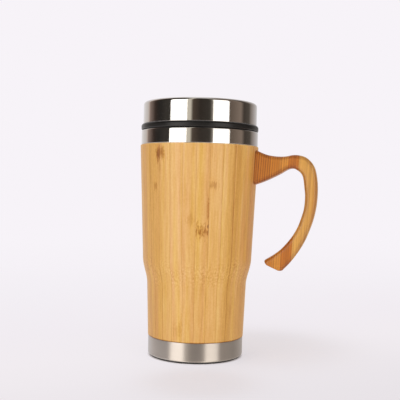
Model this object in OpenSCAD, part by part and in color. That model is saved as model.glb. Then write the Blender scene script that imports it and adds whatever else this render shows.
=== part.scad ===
// Travel mug with a bamboo sleeve, a stainless steel liner, a bamboo handle and a push-in lid.
// Millimetres. The origin is the middle of the foot on the table, +Z is up, the handle points
// along +X, and the drinking hole of the lid faces -Y.

/* [Bamboo sleeve] */
// Height of the sleeve between the base band and the collar
sleeve_h = 135.1; // [125:0.5:145]
// Outer radius at the sleeve's lower end
sleeve_base_r = 34.1; // [32:0.1:37]
// How much the radius grows from the lower end to the waist
waist_flare = 1.3; // [0.8:0.1:2]
// Height of the waist above the sleeve's lower end
waist_h = 36; // [30:0.5:42]
// How much the radius grows over the shoulder, from the waist to the hip
shoulder_step = 3.5; // [2.5:0.1:4.5]
// Height of the shoulder between the waist and the hip
shoulder_h = 20; // [16:0.5:26]
// How much the radius grows from the hip to the upper end
top_flare = 3.3; // [2.4:0.1:4.2]
// Thickness of the sleeve's wall
sleeve_wall = 4.6; // [4:0.1:5.2]
// Number of staves that the sleeve is glued up from
stave_count = 28; // [20:2:32]
// Width of the glue gap between two staves
glue_gap = 0.05; // [0.03:0.01:0.08]
// Chamfer of the sleeve's two outer edges
sleeve_chamfer = 0.5; // [0.3:0.1:0.8]

/* [Base] */
// Height of the steel band of the base cap
band_h = 13.1; // [11:0.1:15]
// How far the base cap stands back from the sleeve's lower end
base_step = 0.3; // [0.1:0.05:0.5]
// Sheet thickness of the base cap
base_t = 0.6; // [0.5:0.1:0.8]
// Rounding of the base cap's lower edge
base_edge_r = 1.2; // [0.9:0.1:1.5]
// Length of the sleeve's spigot inside the base cap
spigot_h = 8.5; // [6:0.5:9]
// How far the foot pad stands below the base cap
foot_h = 1.2; // [0.8:0.1:2]
// How far the foot pad stands back from the base cap
foot_inset = 1.8; // [1.6:0.1:4]
// Depth of the recess that holds the foot pad
foot_recess = 0.8; // [0.5:0.1:1.2]

/* [Collar and liner] */
// Height of the polished collar above the sleeve, liner lip included
collar_h = 10.6; // [9.5:0.1:12]
// How far the collar stands back from the sleeve's upper end
collar_step = 0.6; // [0.4:0.1:0.9]
// Sheet thickness of the collar
collar_t = 0.7; // [0.5:0.1:0.8]
// Rounding of the collar's upper edge
collar_edge_r = 1; // [0.8:0.1:1.4]
// Length of the collar's skirt inside the sleeve
skirt_h = 6; // [4:0.5:7]
// Gap between the collar's skirt and the liner
skirt_gap = 0.5; // [0.3:0.1:0.6]
// Sheet thickness of the liner
liner_t = 0.6; // [0.5:0.1:0.7]
// Air gap between the liner and the sleeve
liner_gap = 0.9; // [0.7:0.1:1.2]
// Radius of the liner's corner at its floor
liner_corner_r = 4.5; // [3.5:0.5:6]
// How far the mouth that the lid plugs into stands inside the sleeve's upper end
mouth_inset = 5; // [4.5:0.1:5.4]
// Height of the mouth's lower end above the end of the collar's skirt
mouth_rise = 1.7; // [1.4:0.1:2]
// Height of the neck between the mouth and the tapered wall
neck_h = 2.6; // [2:0.1:3]
// How far the liner's rolled lip stands back from the collar
lip_step = 1.2; // [1:0.1:1.6]

/* [Handle] */
// Reach of the handle beyond the sleeve's upper radius
handle_reach = 43.1; // [38:0.1:50]
// Height of the handle from the root's top to the tail
handle_drop = 84; // [78:0.5:92]
// Distance of the handle's root below the sleeve's upper end
handle_down = 2.4; // [2:0.1:3.5]
// Thickness of the handle
handle_t = 17; // [14:0.5:20]
// Rounding of the handle's long edges
handle_edge_r = 3; // [2:0.1:3.8]
// Rounding of the edge round the tail's end face
tail_edge_r = 1.4; // [0.8:0.1:2]
// Swell of the tail's end face
tail_swell = 2.1; // [0.5:0.1:3]
// Length of each handle screw
screw_l = 14; // [12:0.5:16]
// Outer radius of the screw thread
screw_r = 1.75; // [1.5:0.05:2]
// Radius of the screw's countersunk head
screw_head_r = 3.4; // [3:0.1:3.6]

/* [Lid] */
// How far the lid's steel cover stands back from the collar
cover_step = 1.1; // [0.8:0.1:1.4]
// Height of the lid's steel cover
lid_h = 15.65; // [14.5:0.05:17]
// Sheet thickness of the steel cover
cover_t = 0.6; // [0.5:0.1:0.7]
// Rounding of the cover's upper edge
cover_edge_r = 2.2; // [1.6:0.1:2.6]
// Rounding of the cover's inner edge
cover_inner_edge_r = 1; // [0.8:0.1:1.2]
// Width of the cover's top, from its outside to the opening
cover_w = 8.6; // [8:0.1:10]
// Depth of the dish below the lid's top
dish_depth = 5.4; // [5:0.1:6]
// Depth of the hem that lines the opening
hem_h = 3; // [2.6:0.1:3.6]
// How far the black flange under the cover stands out beyond the collar
flange_step = 0.25; // [0.1:0.05:0.5]
// Thickness of the flange
flange_t = 4.1; // [3.6:0.1:5]
// Rounding of the flange's upper edge
flange_edge_r = 1.7; // [1.2:0.1:1.9]
// Gap between the plug and the mouth, which the seal fills
plug_gap = 0.8; // [0.6:0.1:1]
// Height of the plug's lower end above the lower end of the mouth
plug_rise = 1.5; // [1:0.1:2]
// Wall thickness of the lid's mouldings
moulding_t = 1.6; // [1.4:0.1:1.8]
// Height of the seal's groove
groove_h = 8; // [7:0.1:9]
// Depth of the seal's groove
groove_depth = 0.8; // [0.6:0.1:1]
// Number of fins on the seal
fin_count = 3; // [2:1:4]

/* [Slider] */
// Travel of the slider
travel_l = 12; // [11:0.5:13]
// How far the slider's plate runs past the lid's axis
slider_tail_l = 8.5; // [7:0.5:9]
// Thickness of the slider's plate
slider_t = 1.8; // [1.6:0.1:2]
// Height of the thumb ridge above the plate
ridge_h = 1.9; // [1.2:0.1:2]
// Length of the thumb ridge along the travel
ridge_l = 12; // [10:0.5:13]
// Number of finger grooves across the ridge
ridge_grooves = 4; // [3:1:5]
// Depth of a finger groove
groove_cut = 0.5; // [0.3:0.1:0.7]
// Width of the drinking hole
hole_w = 11; // [10:0.5:12]
// Length of the drinking hole along the travel
hole_l = 6.5; // [6:0.1:7]
// Distance of the drinking hole from the dish's wall
hole_wall_w = 3.15; // [3:0.05:4]
// Radius of the air hole
vent_r = 1.2; // [0.8:0.1:1.6]

/* [Hidden] */
$fn = 96;

// Clearances: a glued or pressed fit, a running fit, the lid on its lip, and the slider
fit_gap = 0.05;
run_gap = 0.1;
seat_gap = 0.2;
slide_gap = 0.3;
// Overrun of cuts
cut_h = 1;

// Radii of the stacked pieces, each worked out from the one below it
waist_r = sleeve_base_r + waist_flare;
hip_r = waist_r + shoulder_step;
sleeve_top_r = hip_r + top_flare;
base_r = sleeve_base_r - base_step;
foot_r = base_r - foot_inset;
collar_r = sleeve_top_r - collar_step;
lip_r = collar_r - lip_step;
mouth_r = sleeve_top_r - mouth_inset;
skirt_r = mouth_r + liner_t + skirt_gap + collar_t;
flange_r = collar_r + flange_step;
lid_r = collar_r - cover_step;
opening_r = lid_r - cover_w;
plug_r = mouth_r - plug_gap;

// Heights of the stacked pieces above the table
sleeve_z0 = foot_h + band_h;
sleeve_z1 = sleeve_z0 + sleeve_h;
lip_z = sleeve_z1 + collar_h;
waist_z = sleeve_z0 + waist_h;
hip_z = waist_z + shoulder_h;
flange_z0 = lip_z + seat_gap;
flange_z1 = flange_z0 + flange_t;
cover_z0 = flange_z1 + fit_gap;
lid_z = cover_z0 + lid_h;

// Steps of the curved stretches
shoulder_steps = 10;
corner_steps = 6;

// Sleeve
spigot_r = base_r - base_t - fit_gap;
spigot_z = sleeve_z0 - spigot_h;
rebate_r = skirt_r + fit_gap;
rebate_z = sleeve_z1 - skirt_h - fit_gap;
stave_angle = 360 / stave_count;
stave_turn = 2.2;
glue_angle = glue_gap / sleeve_top_r * 180 / PI;

// Liner
lip_t = liner_t;
liner_lift_h = 0.7;
liner_z0 = sleeve_z0 + liner_lift_h;
mouth_z = sleeve_z1 - skirt_h + mouth_rise;
neck_z = mouth_z - neck_h;
liner_floor_r = sleeve_base_r - sleeve_wall - liner_gap;

// Cradle under the liner
cradle_t = 1.6;
cradle_ring_inset = 5;
cradle_ring_r = liner_floor_r - liner_corner_r - cradle_ring_inset;
cradle_ribs = 6;
cradle_rib_gap = 1;
cradle_floor_z = foot_h + foot_recess + base_t + fit_gap;

// Foot pad
foot_chamfer = 0.3;
pad_groove_inset = 6;
pad_groove_r = foot_r - pad_groove_inset;
pad_groove_w = 2;
pad_groove_depth = 0.6;

// Screws
screw_core_r = 1.25;
screw_head_h = 2.1;
screw_pitch = 1.4;
screw_tip_l = 3;
screw_slot_w = 1;
screw_slot_depth = 0.9;
screw_neck_l = 2.5;
screw_drop_shares = [0.1, 0.19];
screw_cross_share = 0.6;

// Lid
tube_r = lid_r - cover_t - run_gap;
crimp_depth = 0.6;
crimp_h = 0.9;
deck_z1 = lid_z - cover_t - fit_gap;
deck_z0 = deck_z1 - moulding_t;
deck_skirt_h = 5;
dish_floor_z = lid_z - dish_depth;
dish_under_z = dish_floor_z - moulding_t;
hem_r = opening_r + cover_t + fit_gap;
plug_z0 = mouth_z + plug_rise;
plug_h = flange_z0 - plug_z0;
plug_lead_h = 0.8;
groove_r = plug_r - groove_depth;
groove_place_share = 0.45;
groove_z0 = plug_z0 + (plug_h - groove_h) * groove_place_share;
flange_low_edge_r = 0.8;
fin_t = 0.9;

// Slider
plate_z = dish_floor_z + slide_gap / 2 + fit_gap;
plate_corner_r = 6;
plate_lap = 1.8;
plate_edge_w = 1.5;
pad_lap = 1;
pad_t = 1;
pad_ring_t = 0.8;
hole_inset_l = hole_wall_w + hole_l / 2;
hole_off = opening_r - hole_inset_l;
plate_l0 = hole_off + hole_l / 2 + plate_lap;
slider_l = plate_l0 + slider_tail_l;
slider_w = hole_w + 2 * (pad_lap + plate_edge_w);
stem_w = 7;
stem_l = 4;
stem_off = travel_l + stem_l / 2 + slide_gap + plate_lap - slider_tail_l;
ridge_tooth_shares = [0.1, 0.4, 0.7];
rail_w = 1.3;
rail_h = 1.4;
rail_l = 2 * (slider_tail_l + travel_l);
clip_lip_w = 3;
clip_lip_l = 2.5;
clip_w = stem_w + 2 * clip_lip_w;
clip_l = stem_l + 2 * clip_lip_l;
clip_t = 1.4;

// Named outline of the handle, from its root in the sleeve to its tail. Each pair is a share of
// the reach beyond the sleeve and a share of the drop below the root's top.
handle_outer_shares = [
    [-0.050, -0.017], [0.080, 0.013], [0.180, 0.033], [0.325, 0.046], [0.470, 0.046],
    [0.615, 0.034], [0.755, 0.043], [0.853, 0.072], [0.929, 0.121], [0.970, 0.180],
    [0.996, 0.267], [1.000, 0.365], [0.984, 0.465], [0.944, 0.564], [0.880, 0.665],
    [0.797, 0.765], [0.684, 0.861], [0.572, 0.936], [0.478, 0.986]
];
handle_inner_shares = [
    [-0.050, 0.297], [0.090, 0.273], [0.237, 0.238], [0.380, 0.200], [0.506, 0.163],
    [0.594, 0.150], [0.668, 0.162], [0.715, 0.182], [0.749, 0.210], [0.766, 0.245],
    [0.780, 0.302], [0.795, 0.375], [0.784, 0.470], [0.748, 0.545], [0.685, 0.635],
    [0.589, 0.721], [0.440, 0.813], [0.300, 0.873], [0.171, 0.916]
];
handle_steps = 2;
handle_corner_steps = 4;

function mix(a, b, t) = a + (b - a) * t;
function arc(centre, r, a0, a1, steps) =
    [for (i = [0:steps]) centre + r * [cos(mix(a0, a1, i / steps)), sin(mix(a0, a1, i / steps))]];
function reversed(list) = [for (i = [len(list) - 1:-1:0]) list[i]];

// Outer radius of the sleeve at a height above the table: two cones joined by a soft shoulder
function shoulder(t) = (1 - cos(180 * t)) / 2;
function sleeve_r(z) =
    z < waist_z ? mix(sleeve_base_r, waist_r, (z - sleeve_z0) / waist_h)
    : z < hip_z ? mix(waist_r, hip_r, shoulder((z - waist_z) / shoulder_h))
    : mix(hip_r, sleeve_top_r, (z - hip_z) / (sleeve_z1 - hip_z));
shoulder_zs = [for (i = [0:shoulder_steps]) mix(waist_z, hip_z, i / shoulder_steps)];
function wall_line(inset, z0, z1) = concat(
    [[sleeve_r(z0) - inset, z0]],
    [for (z = shoulder_zs) [sleeve_r(z) - inset, z]],
    [[sleeve_r(z1) - inset, z1]]
);

sleeve_profile = concat(
    [[spigot_r, spigot_z], [spigot_r, sleeve_z0], [sleeve_base_r - sleeve_chamfer, sleeve_z0]],
    wall_line(0, sleeve_z0 + sleeve_chamfer, sleeve_z1 - sleeve_chamfer),
    [[sleeve_top_r - sleeve_chamfer, sleeve_z1], [rebate_r, sleeve_z1], [rebate_r, rebate_z]],
    reversed(wall_line(sleeve_wall, sleeve_z0, rebate_z)),
    [[sleeve_base_r - sleeve_wall, spigot_z]]
);

// Sleeve glued up from upright staves, turned as one. The stave under the handle is drilled.
module bamboo_sleeve() {
    color("burlywood") difference() {
        for (i = [0:stave_count - 1])
            rotate([0, 0, stave_turn + i * stave_angle - (stave_angle - glue_angle) / 2])
                rotate_extrude(angle = stave_angle - glue_angle) polygon(sleeve_profile);
        screw_holes();
    }
}

// Polished band between the sleeve and the lid, with a skirt glued into the sleeve's rebate
module rim_collar() {
    top_z = lip_z - lip_t - fit_gap;
    inner_r = mouth_r + liner_t + fit_gap;
    color("silver") rotate_extrude() polygon(concat(
        [[skirt_r - collar_t, sleeve_z1 - skirt_h], [skirt_r, sleeve_z1 - skirt_h],
            [skirt_r, sleeve_z1 + fit_gap], [collar_r, sleeve_z1 + fit_gap]],
        arc([collar_r - collar_edge_r, top_z - collar_edge_r], collar_edge_r, 0, 90, corner_steps),
        [[inner_r, top_z], [inner_r, top_z - collar_t],
            [collar_r - collar_edge_r, top_z - collar_t],
            [collar_r - collar_t, top_z - collar_edge_r],
            [collar_r - collar_t, sleeve_z1 + fit_gap + collar_t],
            [skirt_r - collar_t, sleeve_z1 + fit_gap + collar_t]]
    ));
}

// Drawn steel liner that holds the drink, with its lip rolled out over the collar
module inner_cup() {
    inset = sleeve_wall + liner_gap;
    floor_line = arc([liner_floor_r - liner_corner_r, liner_z0 + liner_corner_r],
        liner_corner_r, -90, 0, corner_steps);
    floor_inner = arc([liner_floor_r - liner_corner_r, liner_z0 + liner_corner_r],
        liner_corner_r - liner_t, -90, 0, corner_steps);
    color("gainsboro") rotate_extrude() polygon(concat(
        [[0, liner_z0]],
        floor_line,
        wall_line(inset, liner_z0 + 2 * liner_corner_r, neck_z),
        [[mouth_r + liner_t, mouth_z], [mouth_r + liner_t, lip_z - lip_t],
            [lip_r, lip_z - lip_t], [lip_r, lip_z], [mouth_r, lip_z], [mouth_r, mouth_z]],
        reversed(wall_line(inset + liner_t, liner_z0 + 2 * liner_corner_r, neck_z)),
        reversed(floor_inner),
        [[0, liner_z0 + liner_t]]
    ));
}

// Moulded cradle that stands in the base cap, carries the liner's floor and centres it
module liner_cradle() {
    outer_r = sleeve_base_r - sleeve_wall - run_gap;
    ring_inner_r = cradle_ring_r - cradle_t;
    top_z = liner_z0 - fit_gap;
    floor_top_z = cradle_floor_z + cradle_t;
    rib_z0 = cradle_floor_z + cradle_t / 2;
    color("dimgray") union() {
        rotate_extrude() polygon([
            [0, cradle_floor_z], [outer_r, cradle_floor_z], [outer_r, top_z],
            [outer_r - cradle_t, top_z], [outer_r - cradle_t, floor_top_z],
            [cradle_ring_r, floor_top_z], [cradle_ring_r, top_z], [ring_inner_r, top_z],
            [ring_inner_r, floor_top_z], [0, floor_top_z]
        ]);
        for (i = [0:cradle_ribs - 1])
            rotate([0, 0, (i + 0.5) * 360 / cradle_ribs])
                translate([cradle_ring_r - cradle_t / 2, -cradle_t / 2, rib_z0])
                    cube([outer_r - cradle_ring_r, cradle_t, top_z - cradle_rib_gap - rib_z0]);
    }
}

// Brushed steel cap over the sleeve's spigot, with a recess below for the foot pad
module base_cap() {
    recess_r = foot_r + run_gap;
    color("darkgray") rotate_extrude() polygon(concat(
        [[0, foot_h + foot_recess], [recess_r, foot_h + foot_recess], [recess_r, foot_h]],
        arc([base_r - base_edge_r, foot_h + base_edge_r], base_edge_r, -90, 0, corner_steps),
        [[base_r, sleeve_z0 - fit_gap], [base_r - base_t, sleeve_z0 - fit_gap],
            [base_r - base_t, foot_h + foot_recess + base_t],
            [0, foot_h + foot_recess + base_t]]
    ));
}

// Rubber disc that the mug stands on
module foot_pad() {
    color("black") rotate_extrude() polygon([
        [0, 0], [pad_groove_r - pad_groove_w, 0],
        [pad_groove_r - pad_groove_w, pad_groove_depth], [pad_groove_r, pad_groove_depth],
        [pad_groove_r, 0], [foot_r - foot_chamfer, 0], [foot_r, foot_chamfer],
        [foot_r, foot_h + foot_recess - fit_gap], [0, foot_h + foot_recess - fit_gap]
    ]);
}

// One point of the handle's outline, from its shares
function handle_point(share) =
    [sleeve_top_r + share.x * handle_reach, sleeve_z1 - handle_down - share.y * handle_drop];

// Smooth curve through the outline's points
function spline(p, i, t) = let (
    n = len(p) - 1,
    a = p[max(i - 1, 0)], b = p[i], c = p[min(i + 1, n)], d = p[min(i + 2, n)]
) (2 * b + (c - a) * t + (2 * a - 5 * b + 4 * c - d) * t * t
    + (3 * b - 3 * c + d - a) * t * t * t) / 2;
function smooth(shares) = let (p = [for (s = shares) handle_point(s)]) concat(
    [for (i = [0:len(p) - 2], k = [0:handle_steps - 1]) spline(p, i, k / handle_steps)],
    [p[len(p) - 1]]
);

// Rounded rectangle of the handle's section: [place across the width, place across the thickness]
function section(half_w, half_t, r) = [
    for (q = [0:3], k = [0:handle_corner_steps])
        let (
            a = 90 * q + 90 * k / handle_corner_steps,
            side_w = (q == 0 || q == 3) ? 1 : -1,
            side_t = q < 2 ? 1 : -1
        ) [side_w * (half_w - r) + r * cos(a), side_t * (half_t - r) + r * sin(a)]
];

// One ring of the handle between an inner and an outer point, drawn in by inset and moved on
// along the tail by advance, with the middle of the ring swollen by swell
function ring(inner, outer, inset, advance, swell) = let (
    across = outer - inner,
    half_w = norm(across) / 2,
    u = across / norm(across),
    tail = [u.y, -u.x],
    middle = (inner + outer) / 2,
    points = section(half_w - inset, handle_t / 2 - inset, handle_edge_r - inset)
) [for (s = points) let (
    lift = swell * (1 - pow(s.x / half_w, 2)),
    p = middle + u * s.x + tail * (advance + lift)
) [p.x, s.y, p.y]];

handle_outer = smooth(handle_outer_shares);
handle_inner = smooth(handle_inner_shares);
handle_last = len(handle_outer) - 1;
tail_inner = handle_inner[handle_last];
tail_outer = handle_outer[handle_last];
handle_rings = concat(
    [for (i = [0:handle_last - 1]) ring(handle_inner[i], handle_outer[i], 0, 0, 0)],
    [for (k = [0:3]) ring(tail_inner, tail_outer, tail_edge_r * (1 - cos(30 * k)),
        tail_edge_r * sin(30 * k), tail_swell)]
);

// Bamboo handle, fixed by its root and free at its tail
module handle() {
    n = len(handle_rings[0]);
    rings = len(handle_rings);
    points = [for (r = handle_rings) each r];
    sides = [for (i = [0:rings - 2], k = [0:n - 1]) let (
        a = i * n + k, b = i * n + (k + 1) % n, c = b + n, d = a + n
    ) each [[a, b, c], [a, c, d]]];
    first = [for (k = [1:n - 2]) [0, k + 1, k]];
    last_start = (rings - 1) * n;
    last = [for (k = [1:n - 2]) [last_start, last_start + k, last_start + k + 1]];
    color("peru") difference() {
        polyhedron(points = points, faces = concat(sides, first, last));
        translate([0, 0, hip_z])
            cylinder(h = sleeve_z1 - hip_z, r1 = hip_r + fit_gap, r2 = sleeve_top_r + fit_gap);
        screw_holes();
    }
}

// Places its children at the head of each handle screw, with the screw along +X
module at_screws() {
    for (share = screw_drop_shares) {
        z = sleeve_z1 - handle_down - share * handle_drop;
        translate([sleeve_r(z) - sleeve_wall + fit_gap, 0, z]) rotate([0, 90, 0]) children();
    }
}

module screw_holes() {
    at_screws() {
        cylinder(h = screw_l + fit_gap, r = screw_r + fit_gap);
        cylinder(h = screw_head_h + fit_gap, r1 = screw_head_r + fit_gap, r2 = screw_r + fit_gap);
        translate([0, 0, -cut_h]) cylinder(h = cut_h, r = screw_head_r + fit_gap);
    }
}

// Two countersunk wood screws, driven from inside the sleeve into the handle's root
module handle_screws() {
    ridges = floor((screw_l - screw_head_h - screw_neck_l - screw_tip_l) / screw_pitch);
    thread_z = screw_l - screw_tip_l - ridges * screw_pitch;
    color("lightsteelblue") at_screws() difference() {
        rotate_extrude() polygon(concat(
            [[0, 0], [screw_head_r, 0], [screw_core_r, screw_head_h], [screw_core_r, thread_z]],
            [for (i = [0:ridges - 1]) each [
                [screw_r, thread_z + (i + 0.5) * screw_pitch],
                [screw_core_r, thread_z + (i + 1) * screw_pitch]
            ]],
            [[0, screw_l]]
        ));
        for (turn = [0, 90])
            rotate([0, 0, turn])
                translate([-screw_head_r * screw_cross_share, -screw_slot_w / 2, -cut_h])
                    cube([2 * screw_head_r * screw_cross_share, screw_slot_w,
                        cut_h + screw_slot_depth]);
    }
}

// Soft ring with fins, which sits in the plug's groove and grips the mouth
module lid_seal() {
    inner_r = groove_r + fit_gap;
    body_r = plug_r;
    outer_r = mouth_r - fit_gap;
    z0 = groove_z0 + run_gap;
    z1 = groove_z0 + groove_h - run_gap;
    pitch = (z1 - z0) / fin_count;
    color("whitesmoke") rotate_extrude() polygon(concat(
        [[inner_r, z0]],
        [for (i = [0:fin_count - 1]) let (middle = z0 + (i + 0.5) * pitch) each [
            [body_r, middle - fin_t], [outer_r, middle - fin_t / 2],
            [outer_r, middle], [body_r, middle + fin_t / 2]
        ]],
        [[inner_r, z1]]
    ));
}

// Black moulding: the plug with its groove, the flange that seats on the lip, and the tube
// that carries the steel cover
module lid_plug() {
    bore_r = plug_r - moulding_t - groove_depth;
    tube_bore_r = tube_r - moulding_t;
    crimp_r = tube_r - crimp_depth;
    color("black") rotate_extrude() polygon(concat(
        [[bore_r, plug_z0], [plug_r - plug_lead_h, plug_z0], [plug_r, plug_z0 + plug_lead_h],
            [plug_r, groove_z0], [groove_r, groove_z0], [groove_r, groove_z0 + groove_h],
            [plug_r, groove_z0 + groove_h], [plug_r, flange_z0]],
        arc([flange_r - flange_low_edge_r, flange_z0 + flange_low_edge_r],
            flange_low_edge_r, -90, 0, corner_steps),
        arc([flange_r - flange_edge_r, flange_z1 - flange_edge_r],
            flange_edge_r, 0, 90, corner_steps),
        [[crimp_r, flange_z1], [crimp_r, flange_z1 + crimp_h], [tube_r, flange_z1 + crimp_h],
            [tube_r, deck_z0 - fit_gap], [tube_bore_r, deck_z0 - fit_gap],
            [tube_bore_r, flange_z1], [bore_r, flange_z0 + moulding_t]]
    ));
}

// Flat slot with round ends, drawn about its middle
module slot(w, l, h) {
    linear_extrude(h) {
        square([w - l, l], center = true);
        for (side = [-1, 1]) translate([side * (w - l) / 2, 0]) circle(d = l);
    }
}

// Black moulding: the dish with the drinking hole, the slider's slot and rails, and the deck
// under the steel cover
module lid_dish() {
    skirt_outer_r = tube_r - moulding_t - fit_gap;
    wall_r = hem_r + moulding_t;
    deck_r = tube_r;
    slot_l = stem_l + travel_l + 2 * slide_gap;
    cut_z = moulding_t + 2 * cut_h;
    rail_x = slider_w / 2 + slide_gap;
    color("black") union() {
        difference() {
            rotate_extrude() polygon([
                [0, dish_under_z], [wall_r, dish_under_z], [wall_r, deck_z0],
                [skirt_outer_r - moulding_t, deck_z0],
                [skirt_outer_r - moulding_t, deck_z0 - deck_skirt_h],
                [skirt_outer_r, deck_z0 - deck_skirt_h], [skirt_outer_r, deck_z0],
                [deck_r, deck_z0], [lid_r - cover_edge_r, deck_z1],
                [opening_r + cover_inner_edge_r, deck_z1], [hem_r, lid_z - cover_inner_edge_r],
                [hem_r, lid_z - hem_h - fit_gap], [opening_r, lid_z - hem_h - fit_gap],
                [opening_r, dish_floor_z], [0, dish_floor_z]
            ]);
            translate([0, -hole_off, dish_under_z - cut_h]) slot(hole_w, hole_l, cut_z);
            translate([-stem_w / 2 - slide_gap, -stem_off - stem_l / 2 - slide_gap,
                    dish_under_z - cut_h])
                cube([stem_w + 2 * slide_gap, slot_l, cut_z]);
            translate([0, hole_off, dish_under_z - cut_h]) cylinder(h = cut_z, r = vent_r);
        }
        for (side = [-1, 1])
            translate([side * (rail_x + rail_w / 2) - rail_w / 2, -rail_l / 2, dish_floor_z])
                cube([rail_w, rail_l, rail_h]);
    }
}

// Polished steel cover: its inner edge lines the opening, its lower edge is crimped to the plug
module lid_cover() {
    inner_edge_r = cover_inner_edge_r - cover_t;
    outer_edge_r = cover_edge_r - cover_t;
    crimp_r = tube_r - crimp_depth + fit_gap;
    color("silver") rotate_extrude() polygon(concat(
        [[crimp_r, cover_z0], [lid_r, cover_z0]],
        arc([lid_r - cover_edge_r, lid_z - cover_edge_r], cover_edge_r, 0, 90, corner_steps),
        arc([opening_r + cover_inner_edge_r, lid_z - cover_inner_edge_r],
            cover_inner_edge_r, 90, 180, corner_steps),
        [[opening_r, lid_z - hem_h], [opening_r + cover_t, lid_z - hem_h]],
        arc([opening_r + cover_inner_edge_r, lid_z - cover_inner_edge_r],
            inner_edge_r, 180, 90, corner_steps),
        arc([lid_r - cover_edge_r, lid_z - cover_edge_r], outer_edge_r, 90, 0, corner_steps),
        [[lid_r - cover_t, cover_z0 + cover_t], [crimp_r, cover_z0 + cover_t]]
    ));
}

// Plate of the slider with round corners
module slider_plate(h) {
    linear_extrude(h) {
        translate([-slider_w / 2, plate_corner_r])
            square([slider_w, slider_l - 2 * plate_corner_r]);
        translate([plate_corner_r - slider_w / 2, 0])
            square([slider_w - 2 * plate_corner_r, slider_l]);
        for (x = [-1, 1], y = [plate_corner_r, slider_l - plate_corner_r])
            translate([x * (slider_w / 2 - plate_corner_r), y]) circle(plate_corner_r);
    }
}

// Thumb slider: the plate over the drinking hole, the ridge on top and the stem through the slot
module slider() {
    top_z = plate_z + slider_t;
    ridge_step = ridge_l / ridge_grooves;
    ridge_w = slider_w - 2 * rail_w;
    stem_z0 = dish_under_z - slide_gap - clip_t;
    color("black") difference() {
        union() {
            translate([0, -plate_l0, plate_z]) slider_plate(slider_t);
            translate([-ridge_w / 2, -stem_off - ridge_l / 2, top_z])
                rotate([90, 0, 90]) linear_extrude(ridge_w) polygon(concat(
                    [[-ridge_step / 2, 0]],
                    [for (i = [0:ridge_grooves - 1]) each [
                        [(i + ridge_tooth_shares[0]) * ridge_step, ridge_h],
                        [(i + ridge_tooth_shares[1]) * ridge_step, ridge_h],
                        [(i + ridge_tooth_shares[2]) * ridge_step, ridge_h - groove_cut]
                    ]],
                    [[ridge_l, ridge_h], [ridge_l + ridge_step / 2, 0]]
                ));
            translate([-stem_w / 2, -stem_off - stem_l / 2, stem_z0])
                cube([stem_w, stem_l, plate_z - stem_z0 + fit_gap]);
        }
        translate([0, -hole_off, plate_z - cut_h])
            slot(hole_w + 2 * (pad_lap + fit_gap), hole_l + 2 * (pad_lap + fit_gap),
                cut_h + pad_t - plate_z + dish_floor_z + 2 * fit_gap);
    }
}

// Soft pad pressed into the slider, which closes the drinking hole
module slider_pad() {
    color("whitesmoke") translate([0, -hole_off, dish_floor_z + fit_gap]) difference() {
        slot(hole_w + 2 * pad_lap, hole_l + 2 * pad_lap, pad_t);
        translate([0, 0, -cut_h])
            slot(hole_w - 2 * pad_ring_t, hole_l - 2 * pad_ring_t, cut_h + pad_t / 2);
    }
}

// Clip pressed onto the stem below the dish, which keeps the slider down
module slider_clip() {
    color("dimgray") translate([0, -stem_off, dish_under_z - slide_gap - clip_t]) difference() {
        translate([-clip_w / 2, -clip_l / 2, 0]) cube([clip_w, clip_l, clip_t]);
        translate([-stem_w / 2 - fit_gap, -stem_l / 2 - fit_gap, -cut_h])
            cube([stem_w + 2 * fit_gap, stem_l + 2 * fit_gap, clip_t + 2 * cut_h]);
    }
}

bamboo_sleeve();
rim_collar();
inner_cup();
liner_cradle();
base_cap();
foot_pad();
handle();
handle_screws();
lid_seal();
lid_plug();
lid_dish();
lid_cover();
slider();
slider_pad();
slider_clip();
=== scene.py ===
"""Looks of a travel mug with a bamboo sleeve and handle, a steel liner and a push-in lid.

Sizes are in millimetres and become metres when a mesh is made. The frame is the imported
model's: the origin is the middle of the foot, +Z is up and the handle points along +X.
"""

import logging
import math
import random
from abc import ABC, abstractmethod
from dataclasses import dataclass, field
from enum import Enum
from functools import partial
from itertools import accumulate
from typing import Callable, Iterable, Optional, Sequence, Union

import bmesh
import bpy
from mathutils import Matrix, Vector


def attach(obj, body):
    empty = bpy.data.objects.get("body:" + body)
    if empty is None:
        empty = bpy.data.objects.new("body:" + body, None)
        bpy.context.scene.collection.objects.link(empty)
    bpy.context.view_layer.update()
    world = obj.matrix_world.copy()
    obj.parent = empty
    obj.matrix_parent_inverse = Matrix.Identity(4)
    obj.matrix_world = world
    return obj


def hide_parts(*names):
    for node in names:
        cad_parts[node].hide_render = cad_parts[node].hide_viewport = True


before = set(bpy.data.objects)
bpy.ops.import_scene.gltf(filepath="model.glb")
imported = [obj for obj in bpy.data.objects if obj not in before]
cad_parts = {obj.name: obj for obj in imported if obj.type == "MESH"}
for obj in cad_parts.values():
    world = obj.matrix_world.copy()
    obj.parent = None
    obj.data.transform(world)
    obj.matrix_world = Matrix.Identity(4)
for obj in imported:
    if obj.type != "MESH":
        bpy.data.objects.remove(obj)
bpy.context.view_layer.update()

LOG = logging.getLogger("mug")
MM = 0.001
# Straight left between two round ends, so that no two points coincide
SLIVER = 0.01
# How far a part of a moulding runs into the part that carries it
OVERLAP = 0.1

Pair = tuple[float, float]
Point = tuple[float, float, float]
Profile = list[Pair]
Ring = list[tuple[Vector, float]]
Stops = tuple[tuple[float, str], ...]
Loop = list[bmesh.types.BMVert]
Socket = bpy.types.NodeSocket
Outputs = Union[Socket, bpy.types.bpy_prop_collection]
Value = Union[float, Sequence[float], str, Socket]
Links = dict[Union[str, int], Value]
Add = Callable[..., Outputs]


class Body(Enum):
    """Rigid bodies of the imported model."""

    MUG = "mug"
    SEAL = "seal"
    LID = "lid"
    SLIDER = "thumb_slider"


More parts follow.
